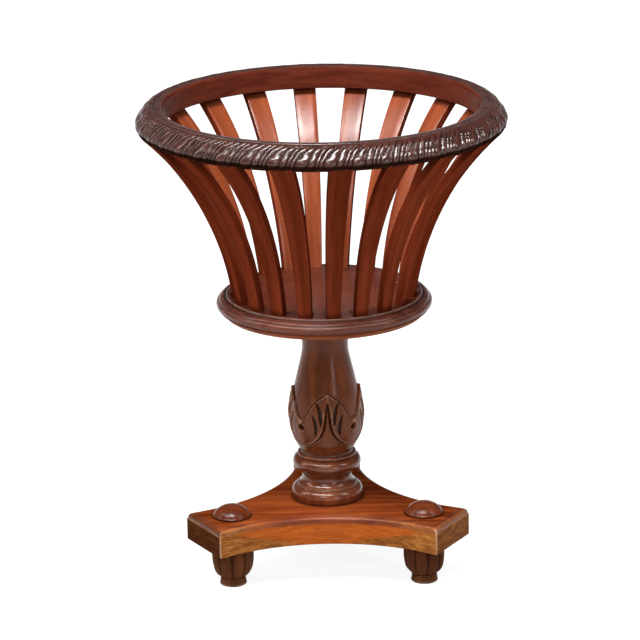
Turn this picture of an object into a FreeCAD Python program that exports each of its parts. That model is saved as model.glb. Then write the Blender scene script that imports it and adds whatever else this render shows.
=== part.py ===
import FreeCAD, Part
import Sketcher
import math
import os
from types import SimpleNamespace

# Driving dimensions: millimetres, degrees and counts.
SIZES = {
    # Clearances shared by every glued joint
    "joint_gap": 0.2,
    "end_gap": 1.0,
    # Turned feet
    "foot_collar_radius": 18.2,
    "foot_collar_height": 11,
    "foot_neck_radius": 17.4,
    "foot_belly_radius": 28.6,
    "foot_belly_rise": 33,
    "foot_top_radius": 27.6,
    "foot_top_rise": 16,
    "foot_spigot_radius": 10,
    "foot_spigot_length": 22,
    # Tripod platform
    "platform_thick": 40,
    "platform_reach": 200,
    "platform_end_width": 98,
    "platform_hollow_depth": 52.4,
    "platform_edge_round": 7,
    "platform_edge_quirk": 1.5,
    "arm_end_set": 46,
    "arm_first_angle": 90,
    # Domed bosses
    "boss_radius": 26.5,
    "boss_edge_height": 2.5,
    "boss_dome_height": 12.5,
    "boss_peg_radius": 6,
    "boss_peg_length": 10,
    # Column, from its foot upwards
    "column_tenon_radius": 17,
    "column_base_radius": 49.5,
    "column_base_edge": 6,
    "column_base_round": 13.5,
    "column_base_run": 6.5,
    "column_step_set": 1.8,
    "column_step_height": 2.5,
    "column_scotia_height": 21,
    "column_scotia_depth": 5.4,
    "column_torus_height": 20,
    "column_torus_radius": 47.6,
    "column_torus_proud": 8.2,
    "column_bead_height": 5,
    "column_bead_radius": 41,
    "column_neck_radius": 36,
    "column_neck_height": 3,
    "column_bulb_rise": 48,
    "column_bulb_radius": 49.6,
    "column_bulb_band": 10,
    "column_shoulder_rise": 42,
    "column_shoulder_radius": 42.5,
    "column_taper_rise": 24,
    "column_taper_radius": 36.9,
    "column_throat_rise": 22,
    "column_throat_radius": 32.4,
    "column_flare_rise": 47,
    "column_flare_radius": 47,
    "column_cap_height": 8,
    "column_pin_radius": 16,
    "column_pin_length": 18,
    "wedge_thick": 4.5,
    "wedge_tip": 2,
    "wedge_depth": 22,
    "wedge_side_set": 1.5,
    # Basket floor
    "floor_thick": 28,
    "floor_radius": 149.3,
    "floor_ledge_set": 13.3,
    "floor_quirk": 2,
    "floor_quirk_width": 1.5,
    "floor_ovolo_drop": 15.5,
    "floor_bead_height": 3,
    "floor_bead_set": 2,
    "floor_under_set": 11.3,
    # Slats
    "slat_count": 20,
    "slat_phase": 5.6,
    "slat_thick": 10.8,
    "slat_foot_set": 8,
    "slat_top_set": 4,
    "slat_curve_radius": 400,
    "slat_foot_width": 18.6,
    "slat_top_width": 31.5,
    "slat_housing": 14,
    "slat_tenon_thick": 8,
    "slat_tenon_width": 20,
    "slat_tenon_height": 14,
    # Rim
    "rim_rise": 236,
    "rim_height": 32,
    "rim_outer_radius": 254,
    "rim_width": 36,
    "rim_top_flat": 13,
    "rim_nose_height": 11,
    "rim_lower_set": 2.5,
    "rim_lower_band": 4.5,
    "rim_segments": 4,
    "rim_seam_angle": 79,
    "dowel_radius": 4,
    "dowel_length": 36,
    "dowel_set": 9,
    "dowel_low_height": 9,
    "dowel_high_height": 23,
}
FULL_TURN = 360
ARM_COUNT = 3
ON_AXIS = 1e-9
UP = FreeCAD.Vector(0, 0, 1)

doc = FreeCAD.newDocument("jardiniere")
sheet = doc.addObject("Spreadsheet::Sheet", "sizes")


class Size:
    """A number together with the sheet formula that gives it."""

    def __init__(self, value, formula):
        self.value = value
        self.formula = formula

    def __add__(self, other):
        other = as_size(other)
        return Size(self.value + other.value, f"({self.formula} + {other.formula})")

    def __sub__(self, other):
        other = as_size(other)
        return Size(self.value - other.value, f"({self.formula} - {other.formula})")

    def __mul__(self, other):
        other = as_size(other)
        return Size(self.value * other.value, f"({self.formula} * {other.formula})")

    def __truediv__(self, other):
        other = as_size(other)
        return Size(self.value / other.value, f"({self.formula} / {other.formula})")

    def __neg__(self):
        return Size(-self.value, f"(0 - {self.formula})")


def as_size(number):
    return number if isinstance(number, Size) else Size(number, str(number))


def root(size):
    return Size(math.sqrt(size.value), f"sqrt({size.formula})")


def cosine(angle):
    return Size(math.cos(math.radians(angle.value)), f"cos({angle.formula})")


def sine(angle):
    return Size(math.sin(math.radians(angle.value)), f"sin({angle.formula})")


def fill_sheet():
    """Write every driving dimension to the sheet and return them by name."""
    for row, (alias, value) in enumerate(SIZES.items(), start=1):
        sheet.set(f"A{row}", alias)
        sheet.set(f"B{row}", str(value))
        sheet.setAlias(f"B{row}", alias)
    doc.recompute()
    return SimpleNamespace(**{alias: Size(float(sheet.get(alias)), f"sizes.{alias}") for alias in SIZES})


def arc_radius(run, rise):
    """Radius of an arc that starts square to its rise and moves sideways by run over that rise."""
    return (run * run + rise * rise) / (run * 2)


def bind(thing, path, size):
    thing.setExpression(path, as_size(size).formula)


def place(thing, x=0, y=0, z=0, turn=0):
    """Set a placement about the vertical axis and tie it to the sheet."""
    x, y, z, turn = (as_size(number) for number in (x, y, z, turn))
    spot = FreeCAD.Vector(x.value, y.value, z.value)
    thing.Placement = FreeCAD.Placement(spot, FreeCAD.Rotation(UP, turn.value))
    bind(thing, "Placement.Base.x", x)
    bind(thing, "Placement.Base.y", y)
    bind(thing, "Placement.Base.z", z)
    bind(thing, "Placement.Rotation.Angle", turn)


def new_body(label):
    body = doc.addObject("PartDesign::Body", label)
    body.Label = label
    return body


def new_sketch(body, name, plane_role, height=0):
    """A sketch on one of the body's own planes, raised along that plane's normal."""
    sketch = body.newObject("Sketcher::SketchObject", f"{body.Label}_{name}")
    plane = next(item for item in body.Origin.OriginFeatures if item.Role == plane_role)
    sketch.AttachmentSupport = [(plane, "")]
    sketch.MapMode = "FlatFace"
    height = as_size(height)
    sketch.AttachmentOffset = FreeCAD.Placement(FreeCAD.Vector(0, 0, height.value), FreeCAD.Rotation())
    bind(sketch, "AttachmentOffset.Base.z", height)
    return sketch


def fix(sketch, constraint, name, size):
    """Add a constraint and tie its value to the sheet."""
    constraint.Name = name
    sketch.addConstraint(constraint)
    bind(sketch, f"Constraints.{name}", size)


def pin_point(sketch, edge, end, x, y):
    """Hold one point of the sketch at x, y."""
    for letter, size, axis in (("X", x, -2), ("Y", y, -1)):
        if abs(size.value) < ON_AXIS:
            sketch.addConstraint(Sketcher.Constraint("PointOnObject", edge, end, axis))
        else:
            distance = Sketcher.Constraint("Distance" + letter, -1, 1, edge, end, size.value)
            fix(sketch, distance, f"{letter.lower()}_{edge}", size)


def draw_outline(sketch, corners):
    """Close a loop through corners of (x, y) or (x, y, bend).

    A bend is the radius of the arc to the next corner, positive where it turns left.
    """
    corners = [tuple(as_size(number) for number in corner) for corner in corners]
    ends = []
    for number, corner in enumerate(corners):
        following = corners[(number + 1) % len(corners)]
        start = FreeCAD.Vector(corner[0].value, corner[1].value, 0)
        stop = FreeCAD.Vector(following[0].value, following[1].value, 0)
        if len(corner) == 2:
            edge = sketch.addGeometry(Part.LineSegment(start, stop))
            ends.append((edge, 1, 2))
            continue
        bend = corner[2].value
        chord = stop - start
        reach = math.sqrt(bend * bend - chord.Length ** 2 / 4)
        left = FreeCAD.Vector(-chord.y, chord.x, 0).normalize()
        centre = (start + stop) / 2 + left * math.copysign(reach, bend)
        circle = Part.Circle(centre, UP, abs(bend))
        first, last = (start, stop) if bend > 0 else (stop, start)
        edge = sketch.addGeometry(Part.ArcOfCircle(circle, circle.parameter(first), circle.parameter(last)))
        ends.append((edge, 1, 2) if bend > 0 else (edge, 2, 1))
    for number, (edge, start_end, stop_end) in enumerate(ends):
        following = ends[(number + 1) % len(ends)]
        sketch.addConstraint(Sketcher.Constraint("Coincident", edge, stop_end, following[0], following[1]))
        corner = corners[number]
        pin_point(sketch, edge, start_end, corner[0], corner[1])
        if len(corner) == 3:
            radius = corner[2] if corner[2].value > 0 else -corner[2]
            fix(sketch, Sketcher.Constraint("Radius", edge, radius.value), f"bend_{edge}", radius)


def draw_circle(sketch, x, y, radius):
    x, y = as_size(x), as_size(y)
    centre = FreeCAD.Vector(x.value, y.value, 0)
    edge = sketch.addGeometry(Part.Circle(centre, UP, radius.value))
    pin_point(sketch, edge, 3, x, y)
    fix(sketch, Sketcher.Constraint("Radius", edge, radius.value), f"round_{edge}", radius)


def pad(body, name, sketch, length, both_ways=False):
    feature = body.newObject("PartDesign::Pad", f"{body.Label}_{name}")
    feature.Profile = sketch
    feature.Length = length.value
    feature.SideType = "Symmetric" if both_ways else "One side"
    bind(feature, "Length", length)
    return feature


def pocket(body, name, sketch, depth, upwards=False, both_ways=False):
    """Cut a pocket and make sure that it took wood away."""
    doc.recompute()
    before = body.Shape.Volume
    feature = body.newObject("PartDesign::Pocket", f"{body.Label}_{name}")
    feature.Profile = sketch
    feature.Length = depth.value
    feature.Reversed = upwards
    feature.SideType = "Symmetric" if both_ways else "One side"
    bind(feature, "Length", depth)
    doc.recompute()
    if not body.Shape.Volume < before:
        raise RuntimeError(f"{feature.Name} cuts nothing")
    return feature


def revolve(body, name, sketch, angle=FULL_TURN):
    """Turn a profile about the body's upright axis, evenly to both sides of its sketch."""
    angle = as_size(angle)
    feature = body.newObject("PartDesign::Revolution", f"{body.Label}_{name}")
    feature.Profile = sketch
    feature.ReferenceAxis = (sketch, ["V_Axis"])
    feature.Angle = angle.value
    feature.Midplane = True
    bind(feature, "Angle", angle)
    return feature


def turned(label, profile):
    """A piece turned on the lathe: its half profile about the upright axis."""
    body = new_body(label)
    sketch = new_sketch(body, "profile", "XZ_Plane")
    draw_outline(sketch, profile)
    revolve(body, "turning", sketch)
    return body


def cut_from(name, base, *tools):
    """Take each tool out of the base in turn."""
    for number, tool in enumerate(tools, start=1):
        cut = doc.addObject("Part::Cut", f"{name}_cut_{number}")
        cut.Base = base
        cut.Tool = tool
        base = cut
    base.Label = name
    return base


def compound(name, links):
    group = doc.addObject("Part::Compound", name)
    group.Links = links
    return group


def foot_profile():
    belly_height = s.foot_collar_height + s.foot_belly_rise
    spigot_end = foot_height + s.foot_spigot_length
    belly_bend = arc_radius(s.foot_belly_radius - s.foot_neck_radius, s.foot_belly_rise)
    shoulder_bend = arc_radius(s.foot_belly_radius - s.foot_top_radius, s.foot_top_rise)
    return [
        (0, 0),
        (s.foot_collar_radius, 0),
        (s.foot_collar_radius, s.foot_collar_height),
        (s.foot_neck_radius, s.foot_collar_height, belly_bend),
        (s.foot_belly_radius, belly_height, shoulder_bend),
        (s.foot_top_radius, foot_height),
        (s.foot_spigot_radius, foot_height),
        (s.foot_spigot_radius, spigot_end),
        (0, spigot_end),
    ]


def boss_profile():
    return [
        (0, -s.boss_peg_length),
        (s.boss_peg_radius, -s.boss_peg_length),
        (s.boss_peg_radius, 0),
        (s.boss_radius, 0),
        (s.boss_radius, s.boss_edge_height, arc_radius(s.boss_dome_height, s.boss_radius)),
        (0, s.boss_edge_height + s.boss_dome_height),
    ]


def place_on_arm(body, arm, height):
    """Set a turned piece on the centre of one arm."""
    angle = s.arm_first_angle + FULL_TURN / ARM_COUNT * arm
    place(body, arm_centre * cosine(angle), arm_centre * sine(angle), height)


def platform_side(reach, end_width):
    """Distance from the axis to the line between two arms' corners, and half that line."""
    half_turn = as_size(FULL_TURN / ARM_COUNT / 2)
    half_width = end_width / 2
    distance = reach * cosine(half_turn) + half_width * sine(half_turn)
    half_chord = reach * sine(half_turn) - half_width * cosine(half_turn)
    return distance, half_chord


def platform_plan(reach, end_width, waist):
    """Three straight ends joined by hollow sides, each an arc through the waist."""
    distance, half_chord = platform_side(reach, end_width)
    half_width = end_width / 2
    hollow = distance - waist
    bend = (half_chord * half_chord + hollow * hollow) / (hollow * 2)
    corners = []
    for arm in range(ARM_COUNT):
        angle = s.arm_first_angle + FULL_TURN / ARM_COUNT * arm
        across, along = sine(angle) * half_width, cosine(angle) * half_width
        corners.append((cosine(angle) * reach + across, sine(angle) * reach - along))
        corners.append((cosine(angle) * reach - across, sine(angle) * reach + along, -bend))
    return corners, bend


def make_platform():
    """The tripod slab, with a round below a small quirk along its top edge."""
    body = new_body("platform")
    waist = platform_side(s.platform_reach, s.platform_end_width)[0] - s.platform_hollow_depth
    plan, bend = platform_plan(s.platform_reach, s.platform_end_width, waist)
    shoulder = s.platform_thick - s.platform_edge_quirk
    slab_plan = new_sketch(body, "plan", "XY_Plane")
    draw_outline(slab_plan, plan)
    slab = pad(body, "slab", slab_plan, shoulder)
    doc.recompute()
    top_edges = [
        f"Edge{number}"
        for number, edge in enumerate(slab.Shape.Edges, start=1)
        if edge.BoundBox.ZMin > shoulder.value / 2
    ]
    rounding = body.newObject("PartDesign::Fillet", "platform_edge")
    rounding.Base = (slab, top_edges)
    rounding.Radius = s.platform_edge_round.value
    bind(rounding, "Radius", s.platform_edge_round)
    inset = s.platform_edge_round
    half_turn = as_size(FULL_TURN / ARM_COUNT / 2)
    centre_distance = waist + bend
    centre_along = centre_distance * cosine(half_turn)
    centre_across = centre_distance * sine(half_turn)
    inner_bend = bend + inset
    inner_reach = s.platform_reach - inset
    drop = inner_reach - centre_along
    inner_half_width = centre_across - root(inner_bend * inner_bend - drop * drop)
    top_plan = new_sketch(body, "top_plan", "XY_Plane", shoulder)
    draw_outline(top_plan, platform_plan(inner_reach, inner_half_width * 2, waist - inset)[0])
    pad(body, "top", top_plan, s.platform_edge_quirk)
    bore = new_sketch(body, "bore", "XY_Plane")
    draw_circle(bore, 0, 0, s.column_tenon_radius + s.joint_gap)
    pocket(body, "column_bore", bore, s.platform_thick, upwards=True)
    sockets = new_sketch(body, "foot_sockets", "XY_Plane")
    peg_holes = new_sketch(body, "peg_holes", "XY_Plane", s.platform_thick)
    for arm in range(ARM_COUNT):
        angle = s.arm_first_angle + FULL_TURN / ARM_COUNT * arm
        x, y = arm_centre * cosine(angle), arm_centre * sine(angle)
        draw_circle(sockets, x, y, s.foot_spigot_radius + s.joint_gap)
        draw_circle(peg_holes, x, y, s.boss_peg_radius + s.joint_gap)
    pocket(body, "foot_pockets", sockets, s.foot_spigot_length + s.end_gap, upwards=True)
    pocket(body, "peg_pockets", peg_holes, s.boss_peg_length + s.end_gap)
    place(body, z=foot_height)
    return body


def wedge_outline(gap):
    """The wedge from its wide lower end to its tip, grown by a gap on each side."""
    wide = s.wedge_thick / 2 + gap
    tip = s.wedge_tip / 2 + gap
    low = -s.platform_thick
    high = low + s.wedge_depth + gap
    return [(-wide, low), (wide, low), (tip, high), (-tip, high)]


def column_levels():
    """Heights of the column's members above the platform, from the foot upwards."""
    members = [
        s.column_base_edge, s.column_base_round, s.column_step_height, s.column_scotia_height,
        s.column_torus_height, s.column_bead_height, s.column_neck_height, s.column_bulb_rise,
        s.column_bulb_band, s.column_shoulder_rise, s.column_taper_rise, s.column_throat_rise,
        s.column_flare_rise, s.column_cap_height,
    ]
    levels = [as_size(0)]
    for member in members:
        levels.append(levels[-1] + member)
    return levels


def sag_radius(chord, sag):
    """Radius of an arc from its chord and the depth of its middle."""
    return (chord * chord / 4 + sag * sag) / (sag * 2)


def make_column():
    (foot, base_edge, base_top, step_top, scotia_top, torus_top, bead_top, neck_top, bulb_low, bulb_high,
     shoulder, taper_top, throat, flare_top, cap_top) = column_levels()
    base_top_radius = s.column_base_radius - s.column_base_run
    step_radius = base_top_radius - s.column_step_set
    torus_root = s.column_torus_radius - s.column_torus_proud
    scotia_run = step_radius - torus_root
    scotia_chord = root(scotia_run * scotia_run + s.column_scotia_height * s.column_scotia_height)
    torus_bend = sag_radius(s.column_torus_height, s.column_torus_proud)
    pin_end = cap_top + s.column_pin_length
    profile = [
        (0, -s.platform_thick),
        (s.column_tenon_radius, -s.platform_thick),
        (s.column_tenon_radius, foot),
        (s.column_base_radius, foot),
        (s.column_base_radius, base_edge, arc_radius(s.column_base_run, s.column_base_round)),
        (base_top_radius, base_top),
        (step_radius, base_top),
        (step_radius, step_top, -sag_radius(scotia_chord, s.column_scotia_depth)),
        (torus_root, scotia_top, torus_bend),
        (torus_root, torus_top),
        (s.column_bead_radius, torus_top),
        (s.column_bead_radius, bead_top),
        (s.column_neck_radius, neck_top,
         arc_radius(s.column_bulb_radius - s.column_neck_radius, s.column_bulb_rise)),
        (s.column_bulb_radius, bulb_low),
        (s.column_bulb_radius, bulb_high,
         arc_radius(s.column_bulb_radius - s.column_shoulder_radius, s.column_shoulder_rise)),
        (s.column_shoulder_radius, shoulder),
        (s.column_taper_radius, taper_top,
         -arc_radius(s.column_taper_radius - s.column_throat_radius, s.column_throat_rise)),
        (s.column_throat_radius, throat,
         -arc_radius(s.column_flare_radius - s.column_throat_radius, s.column_flare_rise)),
        (s.column_flare_radius, flare_top),
        (s.column_flare_radius, cap_top),
        (s.column_pin_radius, cap_top),
        (s.column_pin_radius, pin_end),
        (0, pin_end),
    ]
    body = turned("column", profile)
    slot = new_sketch(body, "wedge_slot", "XZ_Plane")
    draw_outline(slot, wedge_outline(s.joint_gap))
    pocket(body, "slot", slot, (s.column_tenon_radius + s.joint_gap) * 2, both_ways=True)
    place(body, z=platform_top)
    return body


def make_wedge():
    body = new_body("column_wedge")
    side = new_sketch(body, "side", "XZ_Plane")
    draw_outline(side, wedge_outline(as_size(0)))
    pad(body, "plate", side, (s.column_tenon_radius - s.wedge_side_set) * 2, both_ways=True)
    place(body, z=platform_top)
    return body


def slat_radius(height, depth):
    """Distance of a slat's face from the axis at a height, depth in from its outer face."""
    curve = s.slat_curve_radius + depth
    drop = height - slat_centre_height
    return slat_centre_radius - root(curve * curve - drop * drop)


def slat_half_width(height):
    growth = (s.slat_top_width - s.slat_foot_width) / 2 / s.rim_rise
    return s.slat_foot_width / 2 + growth * (height - floor_top)


def slat_turn(number):
    """Direction of a slat from the axis; the phase is counted from the front."""
    return s.slat_phase - 90 + as_size(FULL_TURN) / s.slat_count * number


def make_basket_floor():
    """The moulded disc with a blind mortise for each slat and a bore for the column."""
    quirk_level = s.floor_thick - s.floor_quirk
    nose_level = quirk_level - s.floor_ovolo_drop
    bead_level = nose_level - s.floor_bead_height
    ovolo_radius = ledge_radius + s.floor_quirk_width
    body = turned("basket_floor", [
        (0, 0),
        (s.floor_radius - s.floor_under_set, 0),
        (s.floor_radius - s.floor_bead_set, bead_level),
        (s.floor_radius - s.floor_bead_set, nose_level),
        (s.floor_radius, nose_level, arc_radius(s.floor_radius - ovolo_radius, s.floor_ovolo_drop)),
        (ovolo_radius, quirk_level),
        (ledge_radius, quirk_level),
        (ledge_radius, s.floor_thick),
        (0, s.floor_thick),
    ])
    bore = new_sketch(body, "column_bore", "XY_Plane")
    draw_circle(bore, 0, 0, s.column_pin_radius + s.joint_gap)
    pocket(body, "pin_bore", bore, s.column_pin_length + s.end_gap, upwards=True)
    inner = slat_radius(slat_bottom, s.slat_thick) - s.joint_gap
    outer = slat_radius(floor_top, as_size(0)) + s.joint_gap
    side = slat_half_width(floor_top) + s.joint_gap
    mortise = new_sketch(body, "mortise", "XY_Plane", s.floor_thick)
    draw_outline(mortise, [(inner, -side), (outer, -side), (outer, side), (inner, side)])
    first = pocket(body, "first_mortise", mortise, s.slat_housing)
    ring = body.newObject("PartDesign::PolarPattern", "basket_floor_mortises")
    ring.Originals = [first]
    ring.Axis = (mortise, ["N_Axis"])
    ring.Angle = FULL_TURN
    ring.Occurrences = int(s.slat_count.value)
    bind(ring, "Occurrences", s.slat_count)
    body.Tip = ring
    place(body, z=column_top, turn=slat_turn(0))
    return body


def make_slat(number):
    """One curved slat: a bent band cut to its taper, with a tenon for the rim."""
    body = new_body(f"slat_{number + 1:02d}")
    bend = s.slat_curve_radius
    none = as_size(0)
    band = new_sketch(body, "band", "XZ_Plane")
    draw_outline(band, [
        (slat_radius(slat_bottom, none), slat_bottom, -bend),
        (slat_radius(rim_bottom, none), rim_bottom),
        (slat_radius(rim_bottom, s.slat_thick), rim_bottom, bend + s.slat_thick),
        (slat_radius(slat_bottom, s.slat_thick), slat_bottom),
    ])
    spare = s.slat_thick
    pad(body, "blank", band, s.slat_top_width + spare, both_ways=True)
    edge = s.slat_top_width / 2 + spare
    low, high = slat_bottom - spare, rim_bottom + spare
    for name, sign in (("left", -1), ("right", 1)):
        taper = new_sketch(body, name, "YZ_Plane")
        offcut = [
            (slat_half_width(low) * sign, low),
            (edge * sign, low),
            (edge * sign, high),
            (slat_half_width(high) * sign, high),
        ]
        draw_outline(taper, offcut)
        pocket(body, f"{name}_taper", taper, s.rim_outer_radius * 2, both_ways=True)
    tenon = new_sketch(body, "tenon", "XY_Plane", rim_bottom)
    thick, side = s.slat_tenon_thick / 2, s.slat_tenon_width / 2
    near, far = tenon_radius - thick, tenon_radius + thick
    draw_outline(tenon, [(near, -side), (far, -side), (far, side), (near, side)])
    pad(body, "tenon_block", tenon, s.slat_tenon_height)
    place(body, turn=slat_turn(number))
    return body


def make_rim_mortises():
    """The blocks of wood taken out of the rim for the slats' tenons."""
    thick = s.slat_tenon_thick + s.joint_gap * 2
    width = s.slat_tenon_width + s.joint_gap * 2
    blocks = []
    for number in range(slat_total):
        turn = slat_turn(number)
        near, side = tenon_radius - thick / 2, width / 2
        block = doc.addObject("Part::Box", f"rim_mortise_{number + 1:02d}")
        for path, size in (("Length", thick), ("Width", width), ("Height", s.slat_tenon_height + s.end_gap)):
            setattr(block, path, size.value)
            bind(block, path, size)
        x = cosine(turn) * near + sine(turn) * side
        y = sine(turn) * near - cosine(turn) * side
        place(block, x, y, rim_bottom, turn)
        blocks.append(block)
    return compound("rim_mortises", blocks)


def dowel_pairs(name, radius, length):
    """A low and a high dowel across each seam of the rim."""
    pairs = []
    for seam in range(segment_total):
        dowels = []
        for place_name, height in (("low", s.dowel_low_height), ("high", s.dowel_high_height)):
            dowel = doc.addObject("Part::Cylinder", f"{name}_{place_name}_{seam + 1}")
            dowel.Radius = radius.value
            dowel.Height = length.value
            bind(dowel, "Radius", radius)
            bind(dowel, "Height", length)
            level = rim_bottom + height
            spot = FreeCAD.Vector(dowel_circle.value, -length.value / 2, level.value)
            along_seam = FreeCAD.Rotation(FreeCAD.Vector(1, 0, 0), -90)
            dowel.Placement = FreeCAD.Placement(spot, along_seam)
            bind(dowel, "Placement.Base.x", dowel_circle)
            bind(dowel, "Placement.Base.y", -(length / 2))
            bind(dowel, "Placement.Base.z", level)
            dowels.append(dowel)
        pair = compound(f"{name}_pair_{seam + 1}", dowels)
        place(pair, turn=seam_turn(seam))
        pairs.append(pair)
    return compound(name, pairs)


def seam_turn(seam):
    return s.rim_seam_angle - 90 + segment_angle * seam


def make_rim_segment(number, mortises, dowel_holes):
    """One quarter of the rim, from seam to seam, with its share of the mortises."""
    name = f"rim_segment_{number + 1}"
    body = new_body(f"{name}_blank")
    nose_level = rim_bottom + s.rim_nose_height
    band_level = rim_bottom + s.rim_lower_band
    shoulder_radius = rim_inner + s.rim_top_flat
    lower_radius = s.rim_outer_radius - s.rim_lower_set
    crown_bend = arc_radius(s.rim_outer_radius - shoulder_radius, rim_top - nose_level)
    under_bend = arc_radius(s.rim_lower_set, nose_level - band_level)
    profile = new_sketch(body, "profile", "XZ_Plane")
    draw_outline(profile, [
        (rim_inner, rim_bottom),
        (lower_radius, rim_bottom),
        (lower_radius, band_level, under_bend),
        (s.rim_outer_radius, nose_level, crown_bend),
        (shoulder_radius, rim_top),
        (rim_inner, rim_top),
    ])
    revolve(body, "bend", profile, segment_angle)
    place(body, turn=seam_turn(number) + segment_angle / 2)
    return cut_from(name, body, mortises, dowel_holes)


s = fill_sheet()
slat_total = int(s.slat_count.value)
segment_total = int(s.rim_segments.value)
segment_angle = as_size(FULL_TURN) / s.rim_segments

foot_height = s.foot_collar_height + s.foot_belly_rise + s.foot_top_rise
platform_top = foot_height + s.platform_thick
arm_centre = s.platform_reach - s.arm_end_set
column_top = platform_top + column_levels()[-1]
floor_top = column_top + s.floor_thick
rim_bottom = floor_top + s.rim_rise
rim_top = rim_bottom + s.rim_height
slat_bottom = floor_top - s.slat_housing
ledge_radius = s.floor_radius - s.floor_ledge_set
rim_inner = s.rim_outer_radius - s.rim_width
dowel_circle = rim_inner + s.dowel_set

# Centre of the slats' outer curve, from its two ends and its radius
slat_foot = ledge_radius - s.slat_foot_set
slat_top = s.rim_outer_radius - s.slat_top_set
slat_run = slat_top - slat_foot
slat_chord = root(slat_run * slat_run + s.rim_rise * s.rim_rise)
slat_reach = root(s.slat_curve_radius * s.slat_curve_radius - slat_chord * slat_chord / 4)
slat_centre_radius = (slat_foot + slat_top) / 2 + slat_reach * s.rim_rise / slat_chord
slat_centre_height = (floor_top + rim_bottom) / 2 - slat_reach * slat_run / slat_chord
tenon_radius = (slat_radius(rim_bottom, as_size(0)) + slat_radius(rim_bottom, s.slat_thick)) / 2

pieces = [make_platform(), make_column(), make_wedge(), make_basket_floor()]
for arm, side in enumerate(("back", "left", "right")):
    foot = turned(f"foot_{side}", foot_profile())
    place_on_arm(foot, arm, as_size(0))
    boss = turned(f"boss_{side}", boss_profile())
    place_on_arm(boss, arm, platform_top)
    pieces += [foot, boss]
pieces += [make_slat(number) for number in range(slat_total)]
rim_mortises = make_rim_mortises()
dowel_holes = dowel_pairs("rim_dowel_holes", s.dowel_radius + s.joint_gap, s.dowel_length + s.end_gap * 2)
pieces += [make_rim_segment(number, rim_mortises, dowel_holes) for number in range(segment_total)]
pieces.append(dowel_pairs("rim_dowels", s.dowel_radius, s.dowel_length))

doc.recompute()
for item in doc.Objects:
    if "Invalid" in item.State or "Error" in item.State:
        raise RuntimeError(f"{item.Label} failed: {item.State}")
for piece in pieces:
    if piece.Shape.isNull() or not piece.Shape.isValid():
        raise RuntimeError(f"{piece.Label} has no valid shape")

os.makedirs("parts", exist_ok=True)
for piece in pieces:
    piece.Shape.exportStep(os.path.join("parts", f"{piece.Label}.step"))
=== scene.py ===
import math

import bmesh
import bpy
import numpy as np
from mathutils import Matrix, Vector


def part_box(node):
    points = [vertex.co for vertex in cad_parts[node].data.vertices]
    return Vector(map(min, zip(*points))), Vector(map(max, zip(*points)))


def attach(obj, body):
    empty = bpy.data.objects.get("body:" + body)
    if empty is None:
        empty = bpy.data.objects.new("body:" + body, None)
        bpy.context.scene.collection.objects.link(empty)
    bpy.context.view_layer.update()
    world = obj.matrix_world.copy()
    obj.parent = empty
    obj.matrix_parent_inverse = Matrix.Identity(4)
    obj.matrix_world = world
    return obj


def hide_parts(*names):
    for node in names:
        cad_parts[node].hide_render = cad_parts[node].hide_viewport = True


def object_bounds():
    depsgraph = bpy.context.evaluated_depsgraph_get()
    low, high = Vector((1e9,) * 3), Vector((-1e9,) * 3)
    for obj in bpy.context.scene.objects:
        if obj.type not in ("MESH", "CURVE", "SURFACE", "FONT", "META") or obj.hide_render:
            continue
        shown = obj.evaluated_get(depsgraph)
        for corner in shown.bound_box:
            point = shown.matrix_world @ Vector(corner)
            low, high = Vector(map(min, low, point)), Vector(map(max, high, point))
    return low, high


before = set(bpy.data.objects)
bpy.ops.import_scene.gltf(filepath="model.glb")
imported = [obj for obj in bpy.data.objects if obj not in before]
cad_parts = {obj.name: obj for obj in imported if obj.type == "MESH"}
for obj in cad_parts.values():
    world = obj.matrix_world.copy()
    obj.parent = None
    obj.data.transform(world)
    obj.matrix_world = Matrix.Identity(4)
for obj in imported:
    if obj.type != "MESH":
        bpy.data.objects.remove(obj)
cad_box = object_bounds()

# Lengths are in millimetres until a mesh is made; meshes are in metres
MM = 0.001
FRONT = math.radians(-90)

# Profiles: bend that counts as a corner, how it is rounded, and how fine arcs are
CORNER_TURN = 24
EASE_SHARE = 0.42
EASE_STEPS = (0, 0.33, 0.67, 1)
STRAIGHT_BOW = 0.01
ARC_STEP = 1.1
ARC_PARTS = 4

# Meshes: bend that shows as an arris, limit of the crest value, and the shortest edge that counts in it
SHARP_TURN = math.radians(42)
CREST_LIMIT = 2
SHORT_EDGE = 0.01

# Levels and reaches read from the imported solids
BOSS_PEG = 10
PLATFORM_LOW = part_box("platform")[0].z / MM
PLATFORM_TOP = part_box("boss_back")[0].z / MM + BOSS_PEG
FLOOR_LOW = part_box("basket_floor")[0].z / MM
FLOOR_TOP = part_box("basket_floor")[1].z / MM
FLOOR_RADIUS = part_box("basket_floor")[1].x / MM
RIM_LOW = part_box("rim_segment_1")[0].z / MM
RIM_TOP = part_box("rim_segment_1")[1].z / MM
RIM_RADIUS = cad_box[1].x / MM

# Arms of the platform: direction, and how far out their feet and bosses stand
ARM_TURNS = {"back": 90, "left": 210, "right": 330}
ARM_OUT = 154


def arm_place(arm):
    turn = math.radians(ARM_TURNS[arm])
    return ARM_OUT * math.cos(turn), ARM_OUT * math.sin(turn)


def smooth(low, high, value):
    """Eased step from 0 at low to 1 at high."""
    share = np.clip((value - low) / (high - low), 0, 1)
    return share * share * (3 - 2 * share)


def hump(value, middle, width):
    """Soft bump of height 1 about a middle."""
    return np.exp(-((value - middle) / width) ** 2)


# Meshes

def add_object(name, data):
    """New object of the scene that holds the given data."""
    holder = bpy.data.objects.new(name, data)
    bpy.context.scene.collection.objects.link(holder)
    return holder


def read(items, label, kind, width=1):
    """One property of all the items of a mesh, as an array with a row for each item where width is over 1."""
    values = np.empty(len(items) * width, kind)
    items.foreach_get(label, values)
    return values.reshape(-1, width) if width > 1 else values


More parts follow.
